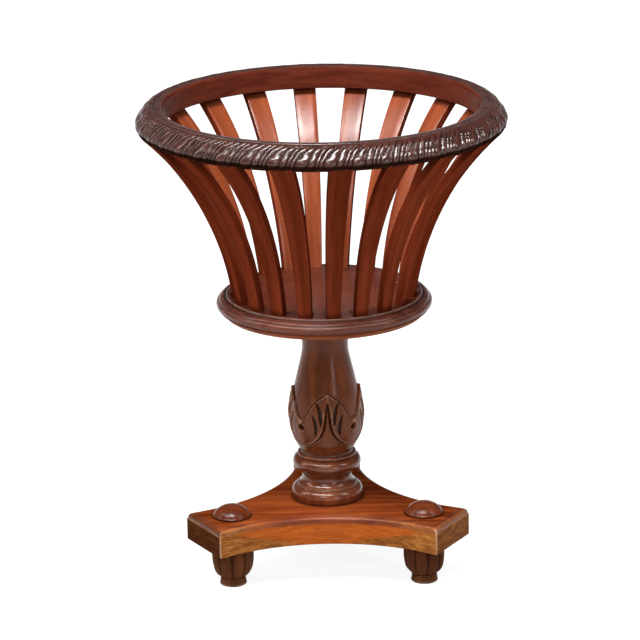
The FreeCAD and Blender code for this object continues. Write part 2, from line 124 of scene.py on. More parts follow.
def store(mesh, label, numbers):
    """Stores a named number on each point of a mesh."""
    stored = mesh.attributes.new(label, "FLOAT", "POINT")
    stored.data.foreach_set("value", np.asarray(numbers, np.float32))


def mark_crests(mesh):
    """Stores how sharply each point stands out, in bends per millimetre: arrises above 0, grooves below."""
    spots = read(mesh.vertices, "co", float, 3) / MM
    normals = read(mesh.vertex_normals, "vector", float, 3)
    ends = read(mesh.edges, "vertices", np.int32, 2)
    first, second = ends.T
    step = spots[second] - spots[first]
    reach = np.maximum((step * step).sum(1), SHORT_EDGE ** 2)
    bend = np.zeros(len(spots))
    np.add.at(bend, first, -2 * (normals[first] * step).sum(1) / reach)
    np.add.at(bend, second, 2 * (normals[second] * step).sum(1) / reach)
    ties = np.maximum(np.bincount(ends.ravel(), minlength=len(spots)), 1)
    store(mesh, "crest", np.clip(bend / ties, -CREST_LIMIT, CREST_LIMIT))


def give_materials(mesh, materials, numbers=None):
    """Gives a mesh its materials, and each face the one with its number."""
    mesh.materials.clear()
    for material in materials:
        mesh.materials.append(material)
    if numbers is not None:
        mesh.polygons.foreach_set("material_index", numbers.astype(np.int32))


def show_mesh(mesh, *finish):
    """Puts a finished mesh in the scene as a smooth-shaded piece with clear arrises and any given finish."""
    if finish:
        give_materials(mesh, *finish)
    mesh.shade_smooth()
    mesh.set_sharp_from_angle(angle=SHARP_TURN)
    mark_crests(mesh)
    return add_object(mesh.name, mesh)


def new_mesh(name, points, faces, values):
    """Mesh from points in millimetres, with named numbers stored on its points."""
    mesh = bpy.data.meshes.new(name)
    mesh.from_pydata((np.asarray(points) * MM).tolist(), [], faces)
    for label, numbers in values.items():
        store(mesh, label, numbers)
    mesh.update()
    return mesh


def face_means(mesh, label):
    """Mean over each face's corners of a number stored on the points."""
    values = read(mesh.attributes[label].data, "value", np.float32)
    corners = read(mesh.loops, "vertex_index", np.int32)
    starts = read(mesh.polygons, "loop_start", np.int32)
    return np.add.reduceat(values[corners], starts) / read(mesh.polygons, "loop_total", np.int32)


def face_spots(mesh):
    """Distance from the axis and level of each face's middle."""
    x, y, level = read(mesh.polygons, "center", float, 3).T / MM
    return np.hypot(x, y), level


def bowed_run(start, end, bow):
    """Points after start up to end, on an arc that stands out by bow to the right of the way."""
    way = end - start
    length = np.hypot(*way)
    if abs(bow) < STRAIGHT_BOW:
        return [end]
    right = np.array([way[1], -way[0]]) / length
    radius = (length * length / 4 + bow * bow) / (2 * bow)
    centre = (start + end) / 2 + right * (bow - radius)
    first = math.atan2(*(start - centre)[::-1])
    last = math.atan2(*(end - centre)[::-1])
    side = math.copysign(1, bow)
    sweep = (last - first) * side % math.tau * side
    count = max(ARC_PARTS, int(abs(sweep * radius) / ARC_STEP))
    turns = first + sweep * np.arange(1, count + 1) / count
    return list(centre + abs(radius) * np.column_stack([np.cos(turns), np.sin(turns)]))


def ease(points, cut):
    """Rounds each clear corner of an open profile, by up to the given cut."""
    eased = [points[0]]
    for before, corner, after in zip(points, points[1:], points[2:]):
        back, ahead = before - corner, after - corner
        back_run, ahead_run = np.hypot(*back), np.hypot(*ahead)
        straight = -np.dot(back, ahead) / (back_run * ahead_run)
        if math.degrees(math.acos(np.clip(straight, -1, 1))) < CORNER_TURN:
            eased.append(corner)
            continue
        near = corner + back / back_run * min(cut, back_run * EASE_SHARE)
        far = corner + ahead / ahead_run * min(cut, ahead_run * EASE_SHARE)
        for share in EASE_STEPS:
            eased.append(near * (1 - share) ** 2 + corner * 2 * share * (1 - share) + far * share ** 2)
    eased.append(points[-1])
    return np.array(eased)


def profile(corners, cut):
    """Half profile through (radius, height) corners.

    A third number bows the run up to that corner outwards.
    """
    points = [np.array(corners[0][:2], float)]
    for corner in corners[1:]:
        bow = corner[2] if len(corner) > 2 else 0
        points.extend(bowed_run(points[-1], np.array(corner[:2], float), bow))
    return ease(np.array(points), cut)


def split_runs(points, step):
    """The same profile with its long runs split into short ones."""
    split = [points[0]]
    for start, end in zip(points, points[1:]):
        count = max(1, math.ceil(np.hypot(*(end - start)) / step))
        split.extend(start + (end - start) * share / count for share in range(1, count + 1))
    return np.array(split)


def round_points(radii, turns, levels, ends=()):
    """Points at radii, turns and levels round the axis, row by row, then end points on the axis."""
    spots = np.broadcast_arrays(radii * np.cos(turns), radii * np.sin(turns), levels)
    return np.vstack([np.stack(spots, -1).reshape(-1, 3), *[(0, 0, level) for level in ends]])


def band_faces(rows, columns, closed=True):
    """Quads between rows of points; closed rows go all the way round."""
    faces = []
    for here in range(0, (rows - 1) * columns, columns):
        above = here + columns
        for column in range(columns if closed else columns - 1):
            beside = (column + 1) % columns
            faces.append((here + column, here + beside, above + beside, above + column))
    return faces


def turned_faces(rows, columns, closed=True):
    """Quads between rows of points, and fans to a foot point and a head point that follow the rows."""
    faces = band_faces(rows, columns, closed)
    foot = rows * columns
    top_row = foot - columns
    for column in range(columns if closed else columns - 1):
        beside = (column + 1) % columns
        faces.append((foot, beside, column))
        faces.append((foot + 1, top_row + column, top_row + beside))
    return faces


# Carving of a turned piece: depths from slightly to fully darkened with painted shade, and heights from
# slightly to fully pale with wear and painted highlight
DARK_DEPTHS = (-0.4, -1.7)
RUBBED_AND_GLINTING_HEIGHTS = (2.9, 3.9)


def lathe(name, points, columns, place=(0, 0), relief=None):
    """Closed mesh turned from a half profile whose two ends are on the axis."""
    turns = np.linspace(0, math.tau, columns, endpoint=False)
    rows = points[1:-1]
    carved = np.zeros((len(rows), columns))
    if relief:
        carved = relief(np.degrees(turns - FRONT)[None, :], rows[:, 1:])
    spots = round_points(rows[:, :1] + carved, turns, rows[:, 1:], (points[0][1], points[-1][1]))
    carved = np.append(carved.ravel(), [0, 0])
    values = {"hollow": smooth(*DARK_DEPTHS, carved), "rub": smooth(*RUBBED_AND_GLINTING_HEIGHTS, carved)}
    return new_mesh(name, spots + [*place, 0], turned_faces(len(rows), columns), values)


# Node trees

class Nodes:
    """Short calls that add nodes to a tree and wire their inputs."""

    def __init__(self, tree):
        self.tree = tree
        tree.nodes.clear()

    def add(self, kind, inputs=None, **settings):
        node = self.tree.nodes.new(kind)
        for setting, value in settings.items():
            setattr(node, setting, value)
        for key, value in (inputs or {}).items():
            if isinstance(value, bpy.types.NodeSocket):
                self.tree.links.new(value, node.inputs[key])
            else:
                node.inputs[key].default_value = value
        return node

    def first(self, kind, inputs=None, **settings):
        """Adds a node and gives its first output."""
        return self.add(kind, inputs, **settings).outputs[0]

    def math(self, operation, *values):
        return self.first("ShaderNodeMath", dict(enumerate(values)), operation=operation)

    def plus(self, one, other):
        return self.math("ADD", one, other)

    def minus(self, one, other):
        return self.math("SUBTRACT", one, other)

    def times(self, one, other):
        return self.math("MULTIPLY", one, other)

    def most(self, one, other):
        return self.math("MAXIMUM", one, other)

    def between(self, share, low, high):
        return self.plus(low, self.times(share, self.minus(high, low)))

    def vector(self, x, y, z):
        return self.first("ShaderNodeCombineXYZ", {0: x, 1: y, 2: z})

    def parts(self, vector):
        return self.add("ShaderNodeSeparateXYZ", {0: vector}).outputs

    def span(self, value, low, high, to_low=0.0, to_high=1.0):
        inputs = {"Value": value, "From Min": low, "From Max": high, "To Min": to_low, "To Max": to_high}
        return self.first("ShaderNodeMapRange", inputs, interpolation_type="SMOOTHSTEP")

    def attribute(self, name, output="Fac"):
        return self.add("ShaderNodeAttribute", attribute_name=name).outputs[output]

    def noise(self, place, scale, detail=3.0, rough=0.55, warp=0.0):
        """Noise with one scale, or with one for each of x, y and z."""
        if isinstance(scale, tuple):
            place = self.first("ShaderNodeMapping", {"Vector": place, "Scale": scale})
            scale = 1.0
        inputs = {"Vector": place, "Scale": scale, "Detail": detail, "Roughness": rough, "Distortion": warp}
        return self.first("ShaderNodeTexNoise", inputs)

    def blend(self, share, one, other, mode="MIX"):
        one = one if isinstance(one, bpy.types.NodeSocket) else (*one, 1)
        other = other if isinstance(other, bpy.types.NodeSocket) else (*other, 1)
        mix = self.add("ShaderNodeMix", {0: share, 6: one, 7: other}, data_type="RGBA", blend_type=mode)
        return mix.outputs[2]


def new_material(name):
    """New material and the nodes of its tree."""
    material = bpy.data.materials.new(name)
    material.use_nodes = True
    return material, Nodes(material.node_tree)


# Wood finishes

# Repeats of the grain per metre along x, y and z
SLAT_GRAIN = (95, 60, 5)
CARVING_GRAIN = (60, 60, 60)
BAND_GRAIN = (14, 14, 120)
UPRIGHT_GRAIN = (70, 70, 8)
BOARD_GRAIN = (9, 75, 75)
BOSS_GRAIN = (9, 80, 80)
PLATFORM_GRAIN = (5, 60, 60)

# Streaks, clouds and patches of the polish, the grain's shift from slat to slat, tints, and how high the
# painted shade at the slats' feet reaches
STREAK_FINENESS = 6.5
CLOUD_SCALE = 11.0
PATCH_SCALE = 55.0
BUMP_DEPTH = 0.0006
TONE_SHIFT = 7.3
PORE_TINT = (0.35, 0.3, 0.28)
CLOUD_TINT = (0.62, 0.56, 0.5)
TONE_TINT = (0.6, 0.5, 0.45)
SLAT_SHADE_TINT = (0.50, 0.44, 0.40)
SLAT_FOOT_SHADE = 9

# Painted shade and dirt in the hollows of turned pieces and of the floor
TURNED_SHADE_AND_DIRT = ((0.010, 0.004, 0.002), 0.05, 0.5, 0.9)
FLOOR_SHADE_AND_DIRT = ((0.010, 0.004, 0.003), 0.1, 0.7, 0.9)


def polished_wood(name, dark, light, grain, *, place=None, tone=None, rough=0.3, specular=0.4, wear_and_glint=None,
                  shade_and_dirt=None, pores=0.3, bump=0.12, paint=None):
    """Polished mahogany: ribbons and pores drawn out along the grain, pale arrises and painted shade in the
    hollows.

    place and tone name what the mesh stores as the grain's own place and as a shade. wear_and_glint and
    shade_and_dirt are (colour, from, to, share) on the crest value of the mesh: pale wear on arrises, in
    places a painted highlight, and painted shade with dirt in hollows; they also cover what the mesh marks as
    rub and as hollow. paint may lay more colours over the grain.
    """
    material, nodes = new_material(name)
    spot = nodes.attribute(place, "Vector") if place else nodes.add("ShaderNodeTexCoord").outputs["Object"]
    grain_spot = spot
    if tone:
        number = nodes.times(nodes.attribute(tone), TONE_SHIFT)
        grain_spot = nodes.first("ShaderNodeVectorMath", {0: spot, 1: nodes.vector(number, number, number)})
    ribbons = nodes.noise(grain_spot, grain, 4.0, 0.6, 0.35)
    streaks = nodes.noise(grain_spot, tuple(STREAK_FINENESS * number for number in grain), 2.0, 0.6)
    clouds = nodes.noise(grain_spot, CLOUD_SCALE, 2.0)
    colour = nodes.blend(nodes.span(ribbons, 0.33, 0.68), dark, light)
    if paint:
        colour = paint(nodes, spot, colour)
    colour = nodes.blend(nodes.span(streaks, 0.56, 0.74, 0.0, pores), colour, PORE_TINT, "MULTIPLY")
    colour = nodes.blend(nodes.span(clouds, 0.35, 0.7, 0.0, 0.22), colour, CLOUD_TINT, "MULTIPLY")
    if tone:
        shade = nodes.span(nodes.attribute(tone), 0.0, 1.0, 0.0, 0.35)
        colour = nodes.blend(shade, colour, TONE_TINT, "MULTIPLY")
    crest = nodes.attribute("crest")
    patches = nodes.noise(spot, PATCH_SCALE, 3.0, 0.65)
    # Painted shade and dirt: darkens grooves by the crest value and what the mesh marks as hollow
    if shade_and_dirt:
        shade, low, high, share = shade_and_dirt
        sunk = nodes.times(nodes.attribute("hollow"), share)
        colour = nodes.blend(nodes.most(nodes.span(crest, -low, -high, 0.0, share), sunk), colour, shade)
    # Pale arrises: wear, and on the carved column also painted highlight on the raised edges
    if wear_and_glint:
        shade, low, high, share = wear_and_glint
        marked = nodes.times(nodes.attribute("rub"), share)
        pale_edges = nodes.most(nodes.span(crest, low, high, 0.0, share), marked)
        worn_and_glint_share = nodes.times(pale_edges, nodes.span(patches, 0.32, 0.58, 0.4, 1.0))
        colour = nodes.blend(worn_and_glint_share, colour, shade)
    relief = nodes.plus(nodes.times(streaks, 0.4), patches)
    bumped = nodes.first("ShaderNodeBump", {"Strength": bump, "Distance": BUMP_DEPTH, "Height": relief})
    gloss = nodes.span(patches, 0.25, 0.75, rough * 0.85, rough * 1.2)
    shader = nodes.first("ShaderNodeBsdfPrincipled", {
        "Base Color": colour, "Roughness": gloss, "Normal": bumped, "Specular IOR Level": specular})
    nodes.add("ShaderNodeOutputMaterial", {"Surface": shader})
    return material


def slat_painted_shade(nodes, spot, colour):
    """Painted shade: darkens the slats' side faces, and their feet next to the floor."""
    _, depth, level = nodes.parts(spot)
    foot = nodes.span(level, (FLOOR_TOP + SLAT_FOOT_SHADE) * MM, FLOOR_TOP * MM, 0.0, 0.9)
    share = nodes.most(nodes.span(depth, 0.0004, 0.0014, 0.0, 0.8), foot)
    return nodes.blend(share, colour, SLAT_SHADE_TINT, "MULTIPLY")


# The outer slat wood carries painted shade on the slats' side faces and feet
slat_outer_wood = polished_wood(
    "slat_outer_mahogany", (0.185, 0.0305, 0.0108), (0.31, 0.056, 0.0215), SLAT_GRAIN, place="slat_place",
    tone="slat_tone", rough=0.4, specular=0.0, wear_and_glint=((0.27, 0.07, 0.03), 0.3, 0.9, 0.35), pores=0.55,
    bump=0.08, paint=slat_painted_shade)
slat_inner_wood = polished_wood(
    "slat_inner_mahogany", (0.19, 0.037, 0.0115), (0.285, 0.064, 0.021), SLAT_GRAIN, place="slat_place",
    tone="slat_tone", rough=0.25, specular=0.33, wear_and_glint=((0.42, 0.17, 0.09), 0.3, 0.9, 0.4), pores=0.45,
    bump=0.05)
rim_wood = polished_wood(
    "rim_carving_mahogany", (0.030, 0.0092, 0.0062), (0.064, 0.020, 0.0135), CARVING_GRAIN, rough=0.22,
    specular=0.46, wear_and_glint=((0.15, 0.070, 0.050), 0.25, 0.9, 0.35),
    shade_and_dirt=((0.004, 0.0015, 0.001), 0.04, 0.5, 0.97), pores=0.2, bump=0.05)
rim_band_wood = polished_wood(
    "rim_band_mahogany", (0.072, 0.0122, 0.0058), (0.12, 0.023, 0.0108), BAND_GRAIN, rough=0.28,
    specular=0.07, wear_and_glint=((0.20, 0.08, 0.045), 0.3, 0.9, 0.4))
# Fillets under the lobes and grounds between them: a darker colour that is painted shade
rim_shaded_fillet_wood = polished_wood(
    "rim_fillet_mahogany", (0.020, 0.007, 0.004), (0.045, 0.016, 0.010), CARVING_GRAIN, rough=0.5,
    specular=0.0, wear_and_glint=((0.08, 0.032, 0.020), 0.2, 0.8, 0.5), shade_and_dirt=((0.006, 0.0025, 0.002), 0.04, 0.5, 0.9))
# Column wood: pale raised leaf edges are wear and painted highlight; hollows get painted shade and dirt
column_wood = polished_wood(
    "column_mahogany", (0.135, 0.033, 0.0095), (0.235, 0.062, 0.0185), UPRIGHT_GRAIN, rough=0.24,
    specular=0.18, wear_and_glint=((0.55, 0.30, 0.17), 0.16, 0.6, 0.7), shade_and_dirt=TURNED_SHADE_AND_DIRT, bump=0.05)
turning_wood = polished_wood(
    "column_foot_mahogany", (0.11, 0.025, 0.008), (0.195, 0.049, 0.016), UPRIGHT_GRAIN, rough=0.22,
    specular=0.46, wear_and_glint=((0.42, 0.20, 0.10), 0.25, 0.9, 0.6), shade_and_dirt=TURNED_SHADE_AND_DIRT, bump=0.03)
floor_wood = polished_wood(
    "floor_mahogany", (0.072, 0.016, 0.009), (0.118, 0.029, 0.016), BOARD_GRAIN, rough=0.22, specular=0.18,
    wear_and_glint=((0.40, 0.25, 0.19), 0.3, 1.0, 0.7), shade_and_dirt=FLOOR_SHADE_AND_DIRT, bump=0.06)
moulding_wood = polished_wood(
    "floor_moulding_mahogany", (0.095, 0.024, 0.014), (0.165, 0.045, 0.026), BOARD_GRAIN, rough=0.24,
    specular=0.26, wear_and_glint=((0.34, 0.17, 0.12), 0.3, 1.0, 0.6), shade_and_dirt=FLOOR_SHADE_AND_DIRT, bump=0.04)
# Lower band of the edge and the underside: a much lighter copy of the floor wood, painted light where little
# light falls
underside_lightened_wood = polished_wood(
    "floor_underside_mahogany", (0.31, 0.078, 0.031), (0.46, 0.13, 0.055), BOARD_GRAIN, rough=0.4,
    specular=0.02, wear_and_glint=((0.46, 0.20, 0.12), 0.3, 1.0, 0.5), shade_and_dirt=FLOOR_SHADE_AND_DIRT)
boss_wood = polished_wood(
    "boss_mahogany", (0.075, 0.015, 0.0045), (0.16, 0.034, 0.0095), BOSS_GRAIN, rough=0.24, specular=0.18,
    wear_and_glint=((0.24, 0.08, 0.03), 0.4, 1.0, 0.25), shade_and_dirt=((0.010, 0.004, 0.002), 0.1, 0.7, 0.9), bump=0.0)
foot_wood = polished_wood(
    "foot_mahogany", (0.112, 0.037, 0.0145), (0.20, 0.068, 0.029), UPRIGHT_GRAIN, rough=0.4, specular=0.01,
    wear_and_glint=((0.46, 0.27, 0.15), 0.35, 1.0, 0.6), shade_and_dirt=((0.014, 0.006, 0.003), 0.05, 0.5, 0.9))
hidden_wood = polished_wood(
    "bare_hardwood", (0.30, 0.19, 0.10), (0.46, 0.31, 0.18), UPRIGHT_GRAIN, rough=0.6, specular=0.2)

# Platform: dark and light of each colour on its sides, tints (one of them painted light on the right arm's
# end), and dark rings of dirt and painted shadow as (radius, width) in metres
GOLD = ((0.22, 0.068, 0.016), (0.50, 0.190, 0.046))
RED = ((0.35, 0.074, 0.013), (0.50, 0.122, 0.0215))
BROWN = ((0.056, 0.0165, 0.0055), (0.105, 0.034, 0.0115))
GOLD_FIBRE = (0.15, 0.046, 0.012)
RIGHT_END_LIGHT_TINT = (3.3, 3.9, 4.2)
AGED_TINT = (0.45, 0.38, 0.31)
RING_DIRT_AND_SHADOW = (0.030, 0.010, 0.005)
COLUMN_RING = (0.0502, 0.0024)
BOSS_RING = (0.0272, 0.0022)


def near_ring(nodes, spot, centre, radius, width):
    """Share of a soft ring round a centre."""
    gap = nodes.add("ShaderNodeVectorMath", {0: spot, 1: centre}, operation="DISTANCE").outputs["Value"]
    return nodes.span(nodes.math("ABSOLUTE", nodes.minus(gap, radius)), width, width * 0.3)


def platform_figure(nodes, spot, colour):
    """Ages the top, lays the golden figured ends on the hollow sides and darkens the ends of the arms,
    lightening the right arm's end with painted light.
    """
    run = nodes.attribute("hollow_run")
    drop = nodes.attribute("edge_drop")
    end = nodes.attribute("arm_end")
    x, y, z = nodes.parts(spot)
    out = nodes.math("SQRT", nodes.plus(nodes.times(x, x), nodes.times(y, y)))
    stains = nodes.noise(spot, (7, 26, 26), 4.0, 0.65, 0.8)
    aged = nodes.times(nodes.span(out, 0.06, 0.16, 0.2, 1.0), nodes.span(stains, 0.36, 0.6, 0.25, 1.0))
    colour = nodes.blend(aged, colour, AGED_TINT, "MULTIPLY")
    level = PLATFORM_TOP * MM
    # Dark rings where the column and bosses stand on the top: dirt and painted contact shadow
    rings = near_ring(nodes, spot, (0, 0, level), *COLUMN_RING)
    for arm in ARM_TURNS:
        centre = (*[number * MM for number in arm_place(arm)], level)
        rings = nodes.most(rings, near_ring(nodes, spot, centre, *BOSS_RING))
    colour = nodes.blend(nodes.times(rings, 0.85), colour, RING_DIRT_AND_SHADOW)
    side = nodes.span(drop, 0.02, 0.08)
    waver = nodes.noise(spot, (9, 9, 30), 3.0, 0.6)
    bound = nodes.plus(nodes.span(drop, 0.1, 1.0, 0.70, 0.14), nodes.times(waver, 0.2))
    past = nodes.minus(run, bound)
    figure = nodes.noise(spot, (24, 24, 150), 5.0, 0.72, 1.4)
    fibres = nodes.noise(spot, (70, 70, 520), 4.0, 0.7, 0.6)
    gold = nodes.blend(nodes.span(figure, 0.34, 0.64), *GOLD)
    gold = nodes.blend(nodes.span(fibres, 0.42, 0.66, 0.0, 0.65), gold, GOLD_FIBRE)
    red = nodes.blend(nodes.span(figure, 0.3, 0.7), *RED)
    sides = nodes.blend(nodes.span(past, -0.08, 0.12), red, gold)
    brown = nodes.blend(nodes.span(figure, 0.34, 0.64), *BROWN)
    # Painted light: the right arm's end is made lighter, as if lit from the right
    brown = nodes.blend(nodes.span(x, -0.05, 0.05), brown, RIGHT_END_LIGHT_TINT, "MULTIPLY")
    sides = nodes.blend(end, sides, brown)
    moulded = nodes.times(nodes.span(z, level - 0.0012, level - 0.0026), nodes.span(run, 0.5, 0.9, 0.0, 0.7))
    colour = nodes.blend(moulded, colour, nodes.blend(end, gold, brown))
    return nodes.blend(side, colour, sides)


def platform_finish(name, gloss):
    """Orange-brown mahogany with the figure and stains of the platform, and its painted shade and painted
    light.
    """
    return polished_wood(
        name, (0.155, 0.0275, 0.007), (0.30, 0.068, 0.0165), PLATFORM_GRAIN, rough=0.32, specular=gloss,
        wear_and_glint=((0.66, 0.42, 0.27), 0.9, 2.2, 0.75), shade_and_dirt=((0.04, 0.012, 0.005), 0.2, 0.9, 0.85), pores=0.45,
        paint=platform_figure)


platform_wood = platform_finish("platform_mahogany", 0.0)
platform_edge_wood = platform_finish("platform_edge_mahogany", 0.22)


# Geometry trees

# Sockets for the kinds of value that a tree is given
SOCKETS = {int: "NodeSocketInt", float: "NodeSocketFloat", list: "NodeSocketVector",
           bpy.types.Object: "NodeSocketObject"}
BEVEL_TURN = math.radians(40)
MERGE_GAP = 0.00002
WAVER_SCALE = 70.0


def new_tree(name, values):
    """Geometry tree with an input for each named value; returns its nodes and its input sockets."""
    tree = bpy.data.node_groups.new(name, "GeometryNodeTree")
    tree.interface.new_socket("Geometry", in_out="OUTPUT", socket_type="NodeSocketGeometry")
    for label, value in values.items():
        kind = next(kind for sort, kind in SOCKETS.items() if isinstance(value, sort))
        tree.interface.new_socket(label, in_out="INPUT", socket_type=kind)
    nodes = Nodes(tree)
    return nodes, nodes.add("NodeGroupInput").outputs


def grow(name, tree, values, bevel=0.0):
    """Runs a geometry tree with its inputs set, and returns the result as a plain mesh."""
    seed_mesh = bpy.data.meshes.new(f"{name}_seed")
    holder = add_object(f"{name}_seed", seed_mesh)
    modifier = holder.modifiers.new(name, "NODES")
    modifier.node_group = tree
    for socket in tree.interface.items_tree:
        if socket.in_out == "INPUT":
            modifier[socket.identifier] = values[socket.name]
    if bevel:
        rounding = holder.modifiers.new("arrises", "BEVEL")
        rounding.width = bevel
        rounding.segments = 2
        rounding.limit_method = "ANGLE"
        rounding.angle_limit = BEVEL_TURN
    shown = holder.evaluated_get(bpy.context.evaluated_depsgraph_get())
    mesh = bpy.data.meshes.new_from_object(shown)
    mesh.name = name
    bpy.data.objects.remove(holder)
    bpy.data.meshes.remove(seed_mesh)
    return mesh


def set_round(nodes, sizes, unit, place=(0, 0, 0)):
    """Copies of a unit at equal turns round an upright axis."""
    places = nodes.first("GeometryNodePoints", {"Count": sizes["Count"], "Position": place})
    step = nodes.math("DIVIDE", math.tau, sizes["Count"])
    turn = nodes.plus(sizes["First Turn"], nodes.times(nodes.first("GeometryNodeInputIndex"), step))
    return nodes.first("GeometryNodeInstanceOnPoints", {
        "Points": places, "Instance": unit, "Rotation": nodes.vector(0.0, 0.0, turn)})


def slat_basket_tree(values, outer, inner):
    """Bent, widening slats set round the floor: one slat from a fine box, then a copy for each place."""
    nodes, sizes = new_tree("Slat Basket", values)
    box = nodes.first("GeometryNodeMeshCube", {
        "Size": (1, 1, 1), "Vertices X": 2, "Vertices Y": 5, "Vertices Z": 41})
    x, y, z = nodes.parts(nodes.first("GeometryNodeInputPosition"))
    level = nodes.between(nodes.plus(z, 0.5), sizes["Low"], sizes["High"])
    climb = nodes.math("DIVIDE", nodes.minus(level, sizes["Floor Level"]),
                       nodes.minus(sizes["Rim Level"], sizes["Floor Level"]))
    across = nodes.times(y, nodes.between(climb, sizes["Foot Width"], sizes["Top Width"]))
    depth = nodes.times(nodes.minus(0.5, x), sizes["Thickness"])
    bend = nodes.plus(sizes["Bend"], depth)
    drop = nodes.minus(level, sizes["Bend Level"])
    reach = nodes.math("SQRT", nodes.minus(nodes.times(bend, bend), nodes.times(drop, drop)))
    out = nodes.minus(sizes["Bend Radius Out"], reach)
    marked = nodes.first("GeometryNodeStoreNamedAttribute", {
        "Geometry": box, "Name": "slat_place", "Value": nodes.vector(across, depth, level)},
        data_type="FLOAT_VECTOR", domain="POINT")
    slat = nodes.first("GeometryNodeSetPosition", {
        "Geometry": marked, "Position": nodes.vector(out, across, level)})
    ring = set_round(nodes, sizes, slat)
    tone = nodes.add("FunctionNodeRandomValue", {"Seed": sizes["Seed"]}, data_type="FLOAT").outputs[1]
    toned = nodes.first("GeometryNodeStoreNamedAttribute", {
        "Geometry": ring, "Name": "slat_tone", "Value": tone}, data_type="FLOAT", domain="INSTANCE")
    realized = nodes.first("GeometryNodeRealizeInstances", {"Geometry": toned})
    place = nodes.first("GeometryNodeInputNamedAttribute", {"Name": "slat_place"}, data_type="FLOAT_VECTOR")
    inside = nodes.math("GREATER_THAN", nodes.parts(place)[1], nodes.times(sizes["Thickness"], 0.95))
    covered = nodes.first("GeometryNodeSetMaterial", {"Geometry": realized, "Material": outer})
    finished = nodes.first("GeometryNodeSetMaterial", {
        "Geometry": covered, "Selection": inside, "Material": inner})
    nodes.add("NodeGroupOutput", {0: finished})
    return nodes.tree


def carved_ring_tree(values, material):
    """Copies of one carved unit set round an axis, joined into one skin that wavers like hand work."""
    nodes, sizes = new_tree(f"Carved Ring {material.name}", values)
    unit = nodes.add("GeometryNodeObjectInfo", {"Object": sizes["Unit"]}).outputs["Geometry"]
    ring = set_round(nodes, sizes, unit, sizes["Place"])
    realized = nodes.first("GeometryNodeRealizeInstances", {"Geometry": ring})
    joined = nodes.first("GeometryNodeMergeByDistance", {"Geometry": realized, "Distance": MERGE_GAP})
    carved = nodes.first("GeometryNodeInputNamedAttribute", {"Name": "carved"}, data_type="FLOAT")
    ripple = nodes.first("ShaderNodeTexNoise", {"W": sizes["Seed"], "Scale": WAVER_SCALE, "Detail": 1.0},
                         noise_dimensions="4D")
    shift = nodes.times(nodes.minus(ripple, 0.5), nodes.times(carved, sizes["Waver"]))
    normal = nodes.first("GeometryNodeInputNormal")
    offset = nodes.first("ShaderNodeVectorMath", {0: normal, "Scale": shift}, operation="SCALE")
    wavered = nodes.first("GeometryNodeSetPosition", {"Geometry": joined, "Offset": offset})
    finished = nodes.first("GeometryNodeSetMaterial", {"Geometry": wavered, "Material": material})
    nodes.add("NodeGroupOutput", {0: finished})
    return nodes.tree


def carved_ring(name, unit_mesh, count, material, first_turn, waver, seed, place=(0, 0, 0)):
    """Mesh of a ring of carved units; uses up the unit's own mesh."""
    unit = add_object(unit_mesh.name, unit_mesh)
    values = {"Unit": unit, "Count": count, "First Turn": first_turn, "Waver": waver * MM, "Seed": seed,
              "Place": [number * MM for number in place]}
    mesh = grow(name, carved_ring_tree(values, material), values)
    bpy.data.objects.remove(unit)
    bpy.data.meshes.remove(unit_mesh)
    return mesh


# Slats

SLAT_COUNT = 20
SLAT_PHASE = 5.6
SLAT_THICK = 10.8
SLAT_FOOT_WIDTH = 18.6
SLAT_TOP_WIDTH = 31.5
SLAT_HOUSING = 14
SLAT_FOOT_ROOM = 0.3
SLAT_TOP_IN = 1.5
SLAT_FOOT_OUT = 128
SLAT_TOP_OUT = 250
SLAT_BEND = 400
SLAT_ARRIS = 1.1
SLAT_TONE_SEED = 7


def slat_bend_centre():
    """Centre of the slats' bend, out from the axis and up, from where their outer faces start and end."""
    foot = np.array([SLAT_FOOT_OUT, FLOOR_TOP])
    head = np.array([SLAT_TOP_OUT, RIM_LOW])
    way = head - foot
    length = np.hypot(*way)
    out = np.array([way[1], -way[0]]) / length
    return (foot + head) / 2 + out * math.sqrt(SLAT_BEND ** 2 - length ** 2 / 4)


def make_slats():
    out, level = slat_bend_centre()
    lengths = {
        "Thickness": SLAT_THICK, "Foot Width": SLAT_FOOT_WIDTH, "Top Width": SLAT_TOP_WIDTH,
        "Low": FLOOR_TOP - SLAT_HOUSING + SLAT_FOOT_ROOM, "Floor Level": FLOOR_TOP, "Rim Level": RIM_LOW,
        "High": RIM_LOW + SLAT_TOP_IN, "Bend": SLAT_BEND, "Bend Radius Out": out, "Bend Level": level}
    values = {label: length * MM for label, length in lengths.items()}
    values.update({
        "Count": SLAT_COUNT, "First Turn": FRONT + math.radians(SLAT_PHASE), "Seed": SLAT_TONE_SEED})
    tree = slat_basket_tree(values, slat_outer_wood, slat_inner_wood)
    return show_mesh(grow("slats", tree, values, bevel=SLAT_ARRIS * MM))


# Carved rim

UNIT_COUNT = 42
UNIT_COLUMNS = 44
UNIT_TURN = 360 / UNIT_COUNT
FIRST_TONGUE = 2.6
TONGUE_SHARE = 0.75
LEAN = 4.6
LEAN_POWER = 1.55
RIM_WAVER = 0.9
RIM_SEED = 3
RIM_SEGMENTS = 4
SEAM_TURN = -11
SEAM_GAP = 0.12
RIM_WIDTH = 36
CROWN_OUT = 232.9
CROWN_LEVEL = 647
CROWN_RADIUS = RIM_RADIUS - CROWN_OUT
CARVE_HIGH = 83
CARVE_LOW = -17
CARVE_ROWS = 52
FILLET_LEVEL = 644.5
BAND_RADIUS = 219.4
# Share of hollow over which a face of the carving takes the darker fillet wood, as painted shade
GROUND_SHARE = 0.55

